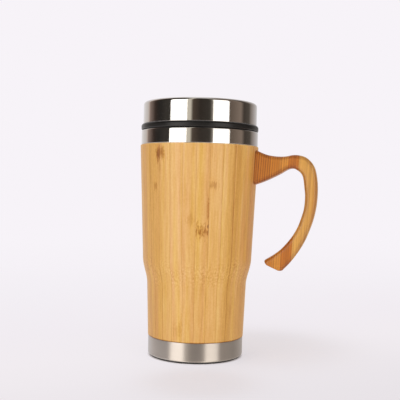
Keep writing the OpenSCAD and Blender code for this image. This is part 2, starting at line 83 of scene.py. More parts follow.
class Slot(Enum):
    """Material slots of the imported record."""

    SLEEVE = "sleeve_bamboo"
    HANDLE = "handle_bamboo"
    POLISHED = "polished_steel"
    LINER = "liner_steel"
    BRUSHED = "brushed_steel"
    GREY = "grey_plastic"
    RUBBER = "pad_rubber"
    SCREW = "screw_steel"
    SILICONE = "silicone"
    BLACK = "black_plastic"


Materials = dict[Slot, bpy.types.Material]


def linear(colour: str) -> tuple[float, float, float, float]:
    """Turn an sRGB hex colour into a linear one.

    Args:
        colour: Six hex digits after a hash sign.

    Returns:
        Linear red, green, blue and an alpha of one.
    """
    parts = [int(colour[i:i + 2], 16) / 255 for i in (1, 3, 5)]
    red, green, blue = [c / 12.92 if c <= 0.04045 else ((c + 0.055) / 1.055) ** 2.4 for c in parts]
    return red, green, blue, 1.0


def add_node(tree: bpy.types.NodeTree, kind: str, *values: Value, links: Optional[Links] = None,
             stops: Stops = (), out: Union[int, str, None] = 0, **settings: object) -> Outputs:
    """Add a node to a tree with its settings, input values and links.

    Args:
        tree: Node tree that gets the node.
        kind: Type name of the node, which for a shader node goes on after ShaderNode.
        *values: Values of the first inputs, or the outputs that are linked to them.
        links: The same for other inputs, by their name or number.
        stops: Places and hex colours of a colour ramp.
        out: Name or number of the output that is needed, or None for all.
        **settings: Properties of the node.

    Returns:
        The output, or all outputs where the node has none or all are asked for.
    """
    node = tree.nodes.new(kind if "Node" in kind else f"ShaderNode{kind}")
    for name, value in settings.items():
        setattr(node, name, value)
    for key, value in (*enumerate(values), *(links or {}).items()):
        if isinstance(value, Socket):
            tree.links.new(value, node.inputs[key])
        else:
            node.inputs[key].default_value = value
    if stops:
        elements = node.color_ramp.elements
        while len(elements) < len(stops):
            elements.new(0.5)
        for element, (place, _) in zip(elements, stops):
            element.position = place
        for element, (_, colour) in zip(elements, stops):
            element.color = linear(colour)
    return node.outputs if out is None or not node.outputs else node.outputs[out]


def new_material(name: str) -> tuple[bpy.types.Material, Add]:
    """Make an empty node material.

    Args:
        name: Name of the finish.

    Returns:
        The material, and the function that adds a node to it.
    """
    material = bpy.data.materials.new(name)
    material.use_nodes = True
    material.node_tree.nodes.clear()
    return material, partial(add_node, material.node_tree)


def arc(centre: Pair, radius: float, start: float, end: float, steps: int = 10) -> Profile:
    """Points along an arc of a profile.

    Args:
        centre: Centre as distance from the axis and height.
        radius: Radius of the arc.
        start: First angle in degrees, from outwards towards up.
        end: Last angle in degrees.
        steps: Number of chords.

    Returns:
        The points, both ends included.
    """
    turns = [math.radians(start + (end - start) * i / steps) for i in range(steps + 1)]
    return [(centre[0] + radius * math.cos(t), centre[1] + radius * math.sin(t)) for t in turns]


def guarded(profile: Profile, closed: bool, guard: float = 0.15) -> Profile:
    """Add points close to both ends of each long straight, so that roundings keep their shading.

    Args:
        profile: Points of the profile.
        closed: Whether the last point joins the first.
        guard: Distance of the added points from the ends.

    Returns:
        The profile with the added points.
    """
    result: Profile = []
    ends = profile[1:] + profile[:1]
    for start, end in zip(profile if closed else profile[:-1], ends):
        a, b = Vector(start), Vector(end)
        result.append(tuple(a))
        length = (b - a).length
        if length > 4 * guard:
            step = (b - a) * (guard / length)
            result += [tuple(a + step), tuple(b - step)]
    return result if closed else [*result, profile[-1]]


def rounded_rectangle(width: float, length: float, radius: float, centre: Pair = (0.0, 0.0),
                      steps: int = 8) -> Profile:
    """Outline of a rectangle with round corners, a slot or a circle, seen from above.

    Args:
        width: Size along X.
        length: Size along Y.
        radius: Radius of the corners.
        centre: Middle of the outline.
        steps: Chords at each corner.

    Returns:
        Points of the outline, anticlockwise.
    """
    points: Profile = []
    for quarter, (sx, sy) in enumerate(((1, 1), (-1, 1), (-1, -1), (1, -1))):
        corner = (centre[0] + sx * (width / 2 - radius), centre[1] + sy * (length / 2 - radius))
        points += arc(corner, radius, 90 * quarter, 90 * quarter + 90, steps)
    return points


def mesh_object(name: str, mesh: bpy.types.Mesh, crease: float) -> bpy.types.Object:
    """Shade a mesh smooth with sharp creases and put it in the scene.

    Args:
        name: Name of the piece.
        mesh: Its mesh.
        crease: Angle in degrees above which an edge stays sharp.

    Returns:
        The new object, at the origin.
    """
    mesh.shade_smooth()
    mesh.set_sharp_from_angle(angle=math.radians(crease))
    piece = bpy.data.objects.new(name, mesh)
    bpy.context.scene.collection.objects.link(piece)
    return piece


class Shell:
    """Collects loops of points into one mesh of closed skins."""

    def __init__(self) -> None:
        """Start an empty mesh."""
        self.bm = bmesh.new()
        self.uv = self.bm.loops.layers.uv.new("surface")

    def loop(self, points: Iterable[Point]) -> Loop:
        """Add a loop of points in millimetres."""
        return [self.bm.verts.new(Vector(p) * MM) for p in points]

    def level(self, outline: Profile, z: float) -> Loop:
        """Add an outline at one height."""
        return self.loop((x, y, z) for x, y in outline)

    def skin(self, loops: Sequence[Loop], *caps: int) -> None:
        """Join loops of the same number of points by quads.

        Args:
            loops: The loops in order.
            *caps: Which of them one face closes.
        """
        for a, b in zip(loops, loops[1:]):
            for i in range(len(a)):
                j = (i + 1) % len(a)
                self.bm.faces.new((a[i], a[j], b[j], b[i]))
        for end in caps:
            self.bm.faces.new(loops[end])

    def fill(self, outer: Loop, holes: Sequence[Loop]) -> None:
        """Fill a flat region with holes by triangles.

        Args:
            outer: Loop round the region.
            holes: Loops of the holes.
        """
        edges = []
        for ring in (outer, *holes):
            for pair in zip(ring, ring[1:] + ring[:1]):
                edges.append(self.bm.edges.get(pair) or self.bm.edges.new(pair))
        bmesh.ops.triangle_fill(self.bm, use_beauty=True, edges=edges)

    def slab(self, size: Pair, corner: float, z0: float, z1: float, edge: float,
             centre: Pair = (0.0, 0.0), caps: tuple[int, ...] = (0, -1)) -> Loop:
        """Add a slab with round corners and a rounded upper edge.

        Args:
            size: Sizes along X and Y.
            corner: Radius of the corners.
            z0: Height of the underside.
            z1: Height of the top.
            edge: Radius of the upper edge.
            centre: Middle of the slab.
            caps: Which ends are closed: 0 is the underside and -1 the top.

        Returns:
            Loop of the underside.
        """
        width, length = size
        loops = [self.level(rounded_rectangle(width, length, corner, centre), z0)]
        for inset, rise in arc((0, 0), edge, 0, 90, 5):
            cut = 2 * (edge - inset)
            outline = rounded_rectangle(width - cut, length - cut, corner - cut / 2, centre)
            loops.append(self.level(outline, z1 - edge + rise))
        self.skin(loops, *caps)
        return loops[0]

    def lathe(self, profile: Profile, closed: bool = True, segments: int = 192) -> list[Loop]:
        """Turn a profile round the Z axis.

        Args:
            profile: Points as distance from the axis and height.
            closed: Whether the last point joins the first.
            segments: Number of columns.

        Returns:
            The rings of points, of one point each on the axis.
        """
        turns = [2 * math.pi * i / segments for i in range(segments)]
        rings = [self.loop((r * math.cos(t), r * math.sin(t), z)
                           for t in (turns if r > 0 else [0.0])) for r, z in profile]
        lengths = list(accumulate(map(math.dist, profile, profile[1:]), initial=0.0))
        pairs = list(zip(rings, rings[1:], lengths, lengths[1:]))
        if closed:
            pairs.append((rings[-1], rings[0], lengths[-1],
                          lengths[-1] + math.dist(profile[-1], profile[0])))
        for a, b, low, high in pairs:
            for i in range(segments if len(a) + len(b) > 2 else 0):
                j = (i + 1) % segments
                corners = [(a, i, i, low), (a, j, i + 1, low), (b, j, i + 1, high), (b, i, i, high)]
                kept = [c for k, c in enumerate(corners) if k % 2 == 0 or len(c[0]) > 1]
                face = self.bm.faces.new([ring[n % len(ring)] for ring, n, _, _ in kept])
                for corner, (_, _, column, along) in zip(face.loops, kept):
                    corner[self.uv].uv = (column / segments, along)
        return rings

    def make(self, name: str, crease: float = 30.0) -> bpy.types.Object:
        """Turn the skins into an object at the origin.

        Args:
            name: Name of the piece.
            crease: Angle in degrees above which an edge stays sharp.

        Returns:
            The new object.
        """
        bmesh.ops.recalc_face_normals(self.bm, faces=self.bm.faces)
        mesh = bpy.data.meshes.new(name)
        self.bm.to_mesh(mesh)
        self.bm.free()
        return mesh_object(name, mesh, crease)


@dataclass
class SubAssembly(ABC):
    """Group of the mug's pieces that builds and dresses them."""

    materials: Materials

    @abstractmethod
    def build(self) -> None:
        """Build and dress the pieces."""

    def show(self, piece: bpy.types.Object, body: Body, slot: Slot, *nodes: str) -> None:
        """Give a piece its finish, its body and the CAD nodes that it stands for.

        Args:
            piece: Finished object.
            body: Body that it rides on.
            slot: Material slot of the record.
            *nodes: CAD nodes that it replaces.
        """
        piece.data.materials.clear()
        piece.data.materials.append(self.materials[slot])
        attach(piece, body.value)
        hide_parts(*nodes)
        LOG.info("%s: %d faces, stands for %s", piece.name, len(piece.data.polygons),
                 ", ".join(nodes))

    def turn(self, name: str, profile: Profile, closed: bool, body: Body, slot: Slot,
             node: str) -> None:
        """Turn a piece round the axis and dress it.

        Args:
            name: Name of the piece.
            profile: Its profile.
            closed: Whether the last point of the profile joins the first.
            body: Body that it rides on.
            slot: Material slot of the record.
            node: CAD node that it replaces.
        """
        shell = Shell()
        shell.lathe(guarded(profile, closed), closed)
        self.show(shell.make(name), body, slot, node)


def dress_node(node: str, material: bpy.types.Material) -> None:
    """Give a CAD node that stays in sight its finish.

    Args:
        node: Name of the node.
        material: Its finish.
    """
    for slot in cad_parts[node].material_slots:
        slot.material = material
    LOG.info("%s: CAD node in %s", node, material.name)


class Repeat(Enum):
    """How the repeating tree lays out its copies."""

    RING = "ring"
    ROW = "row"


@dataclass(frozen=True)
class Repeater:
    """Geometry Nodes tree that repeats a part round the Z axis or in a row along Y.

    First and step are radians for a ring and metres for a row.
    """

    kind: Repeat
    count: int
    first: float
    step: float
    index_name: str = "copy"

    def tree(self) -> bpy.types.NodeTree:
        """Build the tree with its named inputs.

        Returns:
            The tree.
        """
        tree = bpy.data.node_groups.new(f"repeat_{self.kind.value}", "GeometryNodeTree")
        for name, way, kind in (
                ("Geometry", "INPUT", "Geometry"), ("Part", "INPUT", "Object"),
                ("Count", "INPUT", "Int"), ("First", "INPUT", "Float"), ("Step", "INPUT", "Float"),
                ("Finish", "INPUT", "Material"), ("Geometry", "OUTPUT", "Geometry")):
            tree.interface.new_socket(name, in_out=way, socket_type=f"NodeSocket{kind}")
        add = partial(add_node, tree)
        given = add("NodeGroupInput", out=None)
        part = add("GeometryNodeObjectInfo", given["Part"], out="Geometry")
        points = add("GeometryNodePoints", given["Count"])
        index = add("GeometryNodeInputIndex")
        place = add("Math", index, given["Step"], given["First"], operation="MULTIPLY_ADD")
        ring = self.kind is Repeat.RING
        vector = add("CombineXYZ", links={"Z" if ring else "Y": place})
        links = {"Instance": part, "Rotation": vector} if ring else {"Instance": part}
        laid = add("GeometryNodeInstanceOnPoints", points, links=links)
        if not ring:
            laid = add("GeometryNodeTranslateInstances", laid, links={"Translation": vector})
        named = add("GeometryNodeStoreNamedAttribute", laid, data_type="INT", domain="INSTANCE",
                    links={"Name": self.index_name, "Value": index})
        real = add("GeometryNodeRealizeInstances", named)
        add("NodeGroupOutput", add("GeometryNodeSetMaterial", real,
                                   links={"Material": given["Finish"]}))
        return tree

    def mesh(self, part: bpy.types.Object, material: bpy.types.Material) -> bpy.types.Mesh:
        """Repeat a part and turn the result into a plain mesh.

        Args:
            part: Object to repeat, which is removed.
            material: Finish that the tree sets.

        Returns:
            The mesh of all copies.
        """
        tree = self.tree()
        carrier = bpy.data.objects.new("carrier", bpy.data.meshes.new("carrier"))
        bpy.context.scene.collection.objects.link(carrier)
        modifier = carrier.modifiers.new("repeat", "NODES")
        modifier.node_group = tree
        values = {"Part": part, "Count": self.count, "First": self.first, "Step": self.step,
                  "Finish": material}
        for item in tree.interface.items_tree:
            if item.in_out == "INPUT" and item.name in values:
                modifier[item.identifier] = values[item.name]
        graph = bpy.context.evaluated_depsgraph_get()
        mesh = bpy.data.meshes.new_from_object(
            carrier.evaluated_get(graph), preserve_all_data_layers=True, depsgraph=graph)
        carrier.modifiers.clear()
        for gone in (carrier, part):
            bpy.data.objects.remove(gone)
        return mesh


class Finish(ABC):
    """Finish of a piece, made by one Principled shader."""

    name: str

    @abstractmethod
    def surface(self, add: Add) -> Links:
        """Add the nodes that vary the surface.

        Args:
            add: Adds a node to the material.

        Returns:
            Inputs of the shader.
        """

    def build(self) -> bpy.types.Material:
        """Build the material.

        Returns:
            The material.
        """
        material, add = new_material(self.name)
        add("OutputMaterial", add("BsdfPrincipled", links=self.surface(add)))
        return material


@dataclass(frozen=True)
class SleeveBamboo(Finish):
    """Edge-glued bamboo staves, turned, sanded and oiled.

    The eye sees upright fibres, a step of tone from stave to stave, brown ragged marks where
    the cane had a joint, fine dark flecks where the turned shoulder cuts through the fibres,
    and a satin sheen.
    """

    name: str = "oiled_bamboo_staves"
    tones: Stops = (
        (0.0, "#F6D290"), (0.25, "#ECBE75"), (0.42, "#E1AB5B"), (0.58, "#D19848"),
        (0.78, "#B27020"), (1.0, "#83470A"))
    # Noises by their cycles in a millimetre across and along the fibres, and their detail.
    # Single fibres of 0.2 mm are too fine to show and are drawn as threads of 1.1 mm by 14 mm.
    noises: tuple[tuple[str, float, float, float], ...] = (
        ("blush", 0.26, 0.008, 1.0), ("band", 0.17, 0.006, 2.0), ("fibre", 0.45, 0.018, 3.0),
        ("thread", 0.95, 0.07, 3.0), ("comb", 0.80, 0.04, 2.0), ("ragged", 1.2, 0.45, 3.0),
        ("fleck", 0.95, 0.70, 1.0))
    shares: tuple[tuple[str, float], ...] = (("band", 0.22), ("fibre", 0.34), ("thread", 0.34))
    stave_shift: float = 7.31
    comb_share: float = 2.6
    ragged_share: float = 1.8
    mark_edge: Pair = (1.15, 0.25)
    shoulder_z: float = 62.0
    shoulder_spread: float = 9.0
    shoulder_reach: Pair = (10.0, 2.0)
    fleck_share: Pair = (0.85, 0.15)
    glue: tuple[float, ...] = (0.93, 0.985, 0.0, 0.22)
    # Both ends of the sleeve: height, height where the change of tone starts, and the change; at
    # the lower end it is painted shade in the joint above the base cap
    ends: tuple[Point, ...] = ((14.3, 15.2, 0.50), (149.4, 148.5, -0.16))
    blush: Point = (0.0, -0.12, 0.85)
    roughness: float = 0.42
    stray: float = 0.08
    ior: float = 1.48

    def surface(self, add: Add) -> Links:
        """Vary the surface by the staves' own UV map and attributes.

        Args:
            add: Adds a node to the material.

        Returns:
            Inputs of the shader.
        """
        uv = add("UVMap", uv_map="surface")
        flat = add("SeparateXYZ", uv, out=None)
        stave, tone, side = (add("Attribute", out="Fac", attribute_name=name)
                             for name in ("stave", "tone", "across"))
        shift = add("Math", stave, self.stave_shift, operation="MULTIPLY")
        place = add("CombineXYZ", flat[0], flat[1], shift)
        noises, swings = {}, {}
        for name, across, along, detail in self.noises:
            scaled = add("VectorMath", place, (across, along, 1.0), operation="MULTIPLY")
            noises[name] = add("TexNoise", scaled, links={
                "Scale": 1.0, "Detail": detail, "Roughness": 0.55})
            swings[name] = add("Math", noises[name], 0.5, operation="SUBTRACT")
        for name, share in self.shares:
            tone = add("Math", swings[name], share, tone, operation="MULTIPLY_ADD")
        # A cane joint is an oval broken up into a comb of upright dashes
        broken = add("Math", swings["comb"], self.comb_share, operation="MULTIPLY")
        broken = add("Math", swings["ragged"], self.ragged_share, broken, operation="MULTIPLY_ADD")
        for name in ("mark", "streak"):
            centre, size = (add("Attribute", out="Vector", attribute_name=name + part)
                            for part in ("", "_size"))
            near = add("VectorMath", uv, centre, operation="SUBTRACT")
            near = add("VectorMath", near, (1.0, 1.0, 0.0), operation="MULTIPLY")
            near = add("VectorMath", near, size, operation="DIVIDE")
            near = add("VectorMath", near, out="Value", operation="LENGTH")
            near = add("MapRange", add("Math", broken, near), *self.mark_edge, 0.0, 1.0,
                       interpolation_type="SMOOTHSTEP")
            depth = add("SeparateXYZ", centre, out=2)
            tone = add("Math", near, depth, tone, operation="MULTIPLY_ADD")
        # Fibre ends show as pale and dark flecks where the shoulder is cut across them
        chance = add("TexWhiteNoise", links={"W": stave}, out="Value", noise_dimensions="1D")
        zone = add("Math", chance, -self.shoulder_spread, flat[1], operation="MULTIPLY_ADD")
        zone = add("Math", zone, self.shoulder_z - self.shoulder_spread / 2, operation="SUBTRACT")
        zone = add("Math", zone, operation="ABSOLUTE")
        zone = add("MapRange", zone, *self.shoulder_reach, interpolation_type="SMOOTHSTEP")
        zone = add("Math", zone, noises["band"], operation="MULTIPLY")
        zone = add("Math", zone, *self.fleck_share, operation="MULTIPLY_ADD")
        tone = add("Math", swings["fleck"], zone, tone, operation="MULTIPLY_ADD")
        # Glue lines, some of them hardly dark
        joint = add("MapRange", add("Math", side, operation="ABSOLUTE"), *self.glue)
        tone = add("Math", joint, chance, tone, operation="MULTIPLY_ADD")
        # Painted shade darkens the lower end, in the joint above the base cap, and the upper edge
        # is made paler
        for z, start, change in self.ends:
            tone = add("Math", tone, add("MapRange", flat[1], start, z, 0.0, change))
        colour = add("ValToRGB", tone, stops=self.tones)
        # Strips of fibre lean to yellow or to pink
        pink = add("VectorMath", self.blush, links={"Scale": swings["blush"]}, operation="SCALE")
        pink = add("VectorMath", pink, (1.0, 1.0, 1.0))
        colour = add("VectorMath", colour, pink, operation="MULTIPLY")
        rough = add("MapRange", noises["thread"], 0.0, 1.0, self.roughness + self.stray,
                    self.roughness - self.stray)
        bump = add("Bump", links={
            "Height": noises["thread"], "Strength": 0.35, "Distance": 0.06 * MM})
        return {"Base Color": colour, "Roughness": rough, "Normal": bump, "IOR": self.ior}


@dataclass(frozen=True)
class HandleBamboo(Finish):
    """Bamboo board laminated from upright strips, cut to shape, rounded and lacquered.

    The eye sees thin dark glue lines between caramel strips near the sleeve, one darker strip,
    golden strips through the grip, and rounded edges darker partly from end grain that the
    router opened and partly from painted shade.
    """

    name: str = "laminated_bamboo_board"
    strips: Stops = (
        (0.0, "#AE6416"), (0.045, "#C87A1E"), (0.10, "#CD7E20"), (0.24, "#D08222"),
        (0.40, "#DB9235"), (0.53, "#C8761F"), (0.685, "#E4AA51"), (0.80, "#E3AA54"),
        (0.92, "#DA9B46"))
    # Dark brown of glue lines and grain, which also paints shade on the rounded edges
    glue_grain_and_shade_brown: str = "#7A3608"
    strip_start: float = 40.0
    strip_span: float = 47.0
    strip_width: float = 1.6
    lean: float = 0.055
    lean_z: float = 143.0
    # Cycles in a millimetre along X, Y and Z of the strips' slow waver and of the fibres.
    # Single fibres of 0.2 mm are too fine to show and are drawn 1.1 mm by 29 mm.
    wave: Point = (0.02, 0.05, 0.03)
    fibre: Point = (0.95, 0.7, 0.035)
    waver: float = 1.2
    glue: Pair = (0.70, 0.92)
    glue_fade: tuple[float, ...] = (0.12, 0.72, 0.80, 0.12)
    glue_depth: tuple[float, ...] = (0.0, 1.0, 0.45, 1.25)
    chance_share: float = 0.26
    fibre_share: float = 0.55
    edge_grain_and_shade_share: float = 0.30
    darkness: Pair = (0.26, 1.15)
    roughness: float = 0.36
    stray: float = 0.07
    ior: float = 1.50

    def surface(self, add: Add) -> Links:
        """Vary the surface by Object coordinates and the edge attribute.

        Args:
            add: Adds a node to the material.

        Returns:
            Inputs of the shader.
        """
        place = add("TexCoord", out="Object")
        place = add("VectorMath", place, links={"Scale": 1 / MM}, operation="SCALE")
        axes = add("SeparateXYZ", place, out=None)
        wave = add("VectorMath", place, self.wave, operation="MULTIPLY")
        wave = add("TexNoise", wave, links={"Scale": 1.0, "Detail": 1.0})
        across = add("Math", axes[2], self.lean_z, operation="SUBTRACT")
        across = add("Math", across, -self.lean, axes[0], operation="MULTIPLY_ADD")
        across = add("Math", wave, self.waver, across, operation="MULTIPLY_ADD")
        share = add("MapRange", across, self.strip_start, self.strip_start + self.strip_span)
        base = add("ValToRGB", share, stops=self.strips)
        base.node.color_ramp.interpolation = "CONSTANT"
        count = add("Math", across, self.strip_width, operation="DIVIDE")
        strip = add("Math", count, operation="FLOOR")
        line = add("MapRange", add("Math", count, operation="FRACT"), *self.glue)
        # Glue lines fade out through the grip, where the strips are wide, and some joints are
        # glued so tightly that they hardly show
        chance, tight = (add("TexWhiteNoise", links={"W": seed}, out="Value",
                             noise_dimensions="1D") for seed in (strip, add("Math", strip, 0.5)))
        for factor in (add("MapRange", share, *self.glue_fade),
                       add("MapRange", tight, *self.glue_depth)):
            line = add("Math", line, factor, operation="MULTIPLY")
        fibre = add("VectorMath", place, self.fibre, operation="MULTIPLY")
        fibre = add("TexNoise", fibre, links={"Scale": 1.0, "Detail": 4.0, "Roughness": 0.6})
        # Rounded edges are darkened partly for their end grain and partly as painted shade
        edge = add("Attribute", out="Fac", attribute_name="edge")
        dark = line
        for cause, weight in ((chance, self.chance_share), (fibre, self.fibre_share),
                              (edge, self.edge_grain_and_shade_share)):
            dark = add("Math", cause, weight, dark, operation="MULTIPLY_ADD")
        dark = add("MapRange", dark, *self.darkness)
        brown = add("Mix", dark, out=2, data_type="RGBA", links={6: base, 7: linear(self.glue_grain_and_shade_brown)})
        rough = add("MapRange", fibre, 0.0, 1.0, self.roughness + self.stray,
                    self.roughness - self.stray)
        bump = add("Bump", links={"Height": fibre, "Strength": 0.3, "Distance": 0.05 * MM})
        return {"Base Color": brown, "Roughness": rough, "Normal": bump, "IOR": self.ior}


@dataclass(frozen=True)
class TurnedSteel(Finish):
    """Stainless steel sheet, spun or drawn round an axis and then polished or brushed.

    Polished, it mirrors the studio with faint buffing rings. Brushed, the lines round the
    axis draw each reflection out upwards and leave its sides crisp.
    """

    name: str
    colour: str
    roughness: float
    anisotropy: float
    line_pitch: float
    line_share: float
    line_depth: float
    lines_round: float = 9.0
    # Cycles of the polish's clouds in a millimetre, and sums of line and cloud, shiny to dull
    cloud: float = 0.045
    dull_reach: Pair = (0.6, 1.4)

    def surface(self, add: Add) -> Links:
        """Vary the surface by the lathe's UV map: turn share and distance along the profile.

        Args:
            add: Adds a node to the material.

        Returns:
            Inputs of the shader.
        """
        # Real polishing and brushing lines are finer than 0.05 mm, so they are drawn at a pitch
        # that is coarse enough to show, and each runs for a share of a turn
        lines = add("VectorMath", add("UVMap", uv_map="surface"),
                    (self.lines_round, 1 / self.line_pitch, 0.0), operation="MULTIPLY")
        lines = add("TexNoise", lines, links={"Scale": 1.0, "Detail": 3.0, "Roughness": 0.7})
        cloud = add("TexNoise", add("TexCoord", out="Object"),
                    links={"Scale": self.cloud / MM, "Detail": 2.0})
        rough = add("MapRange", add("Math", lines, cloud), *self.dull_reach,
                    self.roughness * (1 - self.line_share), self.roughness * (1 + self.line_share))
        bump = add("Bump", links={
            "Height": lines, "Strength": 0.5, "Distance": self.line_depth * MM})
        return {"Base Color": linear(self.colour), "Metallic": 1.0, "Roughness": rough,
                "Anisotropic": self.anisotropy, "Anisotropic Rotation": 0.25, "Normal": bump,
                "Tangent": add("Tangent", direction_type="UV_MAP", uv_map="surface")}


@dataclass(frozen=True)
class Moulded(Finish):
    """Moulded plastic, silicone or rubber with a fine eroded mould texture.

    The eye sees an even colour with a soft sheen that a slight grain breaks up.
    """

    name: str
    colour: str
    worn: str
    roughness: float
    # Size of the grain in millimetres, coarser than a real mould's so that it shows
    grain: float
    ior: float = 1.49
    subsurface: float = 0.0
    subsurface_colour: Point = (1.0, 0.9, 0.8)
    # Cycles of the wear's clouds in a millimetre, and their values new to worn, shiny to dull
    cloud: float = 0.09
    worn_reach: Pair = (0.4, 0.75)
    dull_reach: Pair = (0.3, 0.7)
    stray: float = 0.06

    def surface(self, add: Add) -> Links:
        """Vary the surface by Object coordinates, with a grain given in millimetres.

        Args:
            add: Adds a node to the material.

        Returns:
            Inputs of the shader.
        """
        place = add("TexCoord", out="Object")
        grain = add("TexNoise", place, links={"Scale": 1 / (self.grain * MM), "Detail": 2.0})
        cloud = add("TexNoise", place, links={"Scale": self.cloud / MM, "Detail": 3.0})
        colour = add("Mix", add("MapRange", cloud, *self.worn_reach), out=2, data_type="RGBA",
                     links={6: linear(self.colour), 7: linear(self.worn)})
        rough = add("MapRange", cloud, *self.dull_reach, self.roughness - self.stray,
                    self.roughness + self.stray)
        bump = add("Bump", links={"Height": grain, "Strength": 0.25, "Distance": 0.03 * MM})
        return {"Base Color": colour, "Roughness": rough, "Normal": bump, "IOR": self.ior,
                "Subsurface Weight": self.subsurface, "Subsurface Radius": self.subsurface_colour,
                "Subsurface Scale": 2 * MM}


@dataclass(frozen=True)
class PlatedSteel(Finish):
    """Zinc-plated screw steel: a bluish bright metal with a cloudy, slightly dull skin."""

    name: str = "zinc_plated_steel"
    colour: str = "#B9C0C6"
    dull: str = "#8E959C"
    # Cycles of the plating's clouds in a millimetre
    cloud: float = 1.2
    roughness: float = 0.32
    stray: float = 0.1

    def surface(self, add: Add) -> Links:
        """Vary the surface by Object coordinates.

        Args:
            add: Adds a node to the material.

        Returns:
            Inputs of the shader.
        """
        cloud = add("TexNoise", add("TexCoord", out="Object"),
                    links={"Scale": self.cloud / MM, "Detail": 3.0})
        colour = add("Mix", cloud, out=2, data_type="RGBA",
                     links={6: linear(self.colour), 7: linear(self.dull)})
        rough = add("MapRange", cloud, 0.0, 1.0, self.roughness - self.stray,
                    self.roughness + self.stray)
        return {"Base Color": colour, "Metallic": 1.0, "Roughness": rough}


FINISHES: dict[Slot, Finish] = {
    Slot.SLEEVE: SleeveBamboo(),
    Slot.HANDLE: HandleBamboo(),
    Slot.POLISHED: TurnedSteel(
        "polished_stainless_steel", "#DAD7D2", 0.07, 0.3, 0.5, 0.35, 0.0004),
    Slot.LINER: TurnedSteel("drawn_stainless_steel", "#E2E1DE", 0.30, 0.5, 0.4, 0.3, 0.002),
    Slot.BRUSHED: TurnedSteel(
        "brushed_stainless_steel", "#BDB6AF", 0.36, 0.97, 0.16, 0.15, 0.004),
    Slot.BLACK: Moulded("black_polypropylene", "#13110F", "#191715", 0.35, 0.25, 1.40),
    Slot.GREY: Moulded("grey_polypropylene", "#6E7072", "#7C7E80", 0.45, 0.3),
    Slot.SILICONE: Moulded("clear_silicone", "#E9E8E3", "#DEDCD5", 0.38, 0.5, 1.41, 0.5),
    Slot.RUBBER: Moulded("black_rubber", "#19191A", "#2A2A2A", 0.72, 0.4, 1.52),
    Slot.SCREW: PlatedSteel(),
}


@dataclass(frozen=True)
class SleeveLine:
    """Outer line of the turned sleeve: two cones joined by a soft shoulder."""

    base_r: float = 34.1
    waist_r: float = 35.4
    hip_r: float = 38.9
    top_r: float = 42.2
    base_z: float = 14.3
    waist_z: float = 50.3
    hip_z: float = 70.3
    top_z: float = 149.4

    def radius(self, z: float) -> float:
        """Radius of the sleeve.

        Args:
            z: Height above the table.

        Returns:
            Distance of the outer surface from the axis.
        """
        if z < self.waist_z:
            share = (z - self.base_z) / (self.waist_z - self.base_z)
            return self.base_r + (self.waist_r - self.base_r) * share
        if z < self.hip_z:
            share = (z - self.waist_z) / (self.hip_z - self.waist_z)
            return self.waist_r + (self.hip_r - self.waist_r) * (1 - math.cos(math.pi * share)) / 2
        share = (z - self.hip_z) / (self.top_z - self.hip_z)
        return self.hip_r + (self.top_r - self.hip_r) * share

    def wall(self, inset: float, low: float, high: float, steps: int = 20) -> Profile:
        """Line that follows the sleeve at a distance inside it.

        Args:
            inset: Distance inside the outer surface.
            low: Lowest height.
            high: Highest height.
            steps: Chords over the shoulder.

        Returns:
            The points from low to high.
        """
        span = self.hip_z - self.waist_z
        heights = [low, *(self.waist_z + span * i / steps for i in range(steps + 1)), high]
        return [(self.radius(z) - inset, z) for z in heights]


@dataclass(frozen=True)
class CaneMark:
    """Brown mark on a stave: its place from the stave's middle, its half sizes and its depth."""

    across: float
    z: float
    half_w: float
    half_h: float
    depth: float


NO_MARK = CaneMark(0.0, -500.0, 1.0, 1.0, 0.0)


@dataclass(frozen=True)
class StaveLook:
    """Tone of a stave, from pale to amber, with its joint mark, its dark streak and how much
    darker its right side is than its middle."""

    tone: float
    mark: CaneMark = NO_MARK
    streak: CaneMark = NO_MARK
    slope: float = 0.0


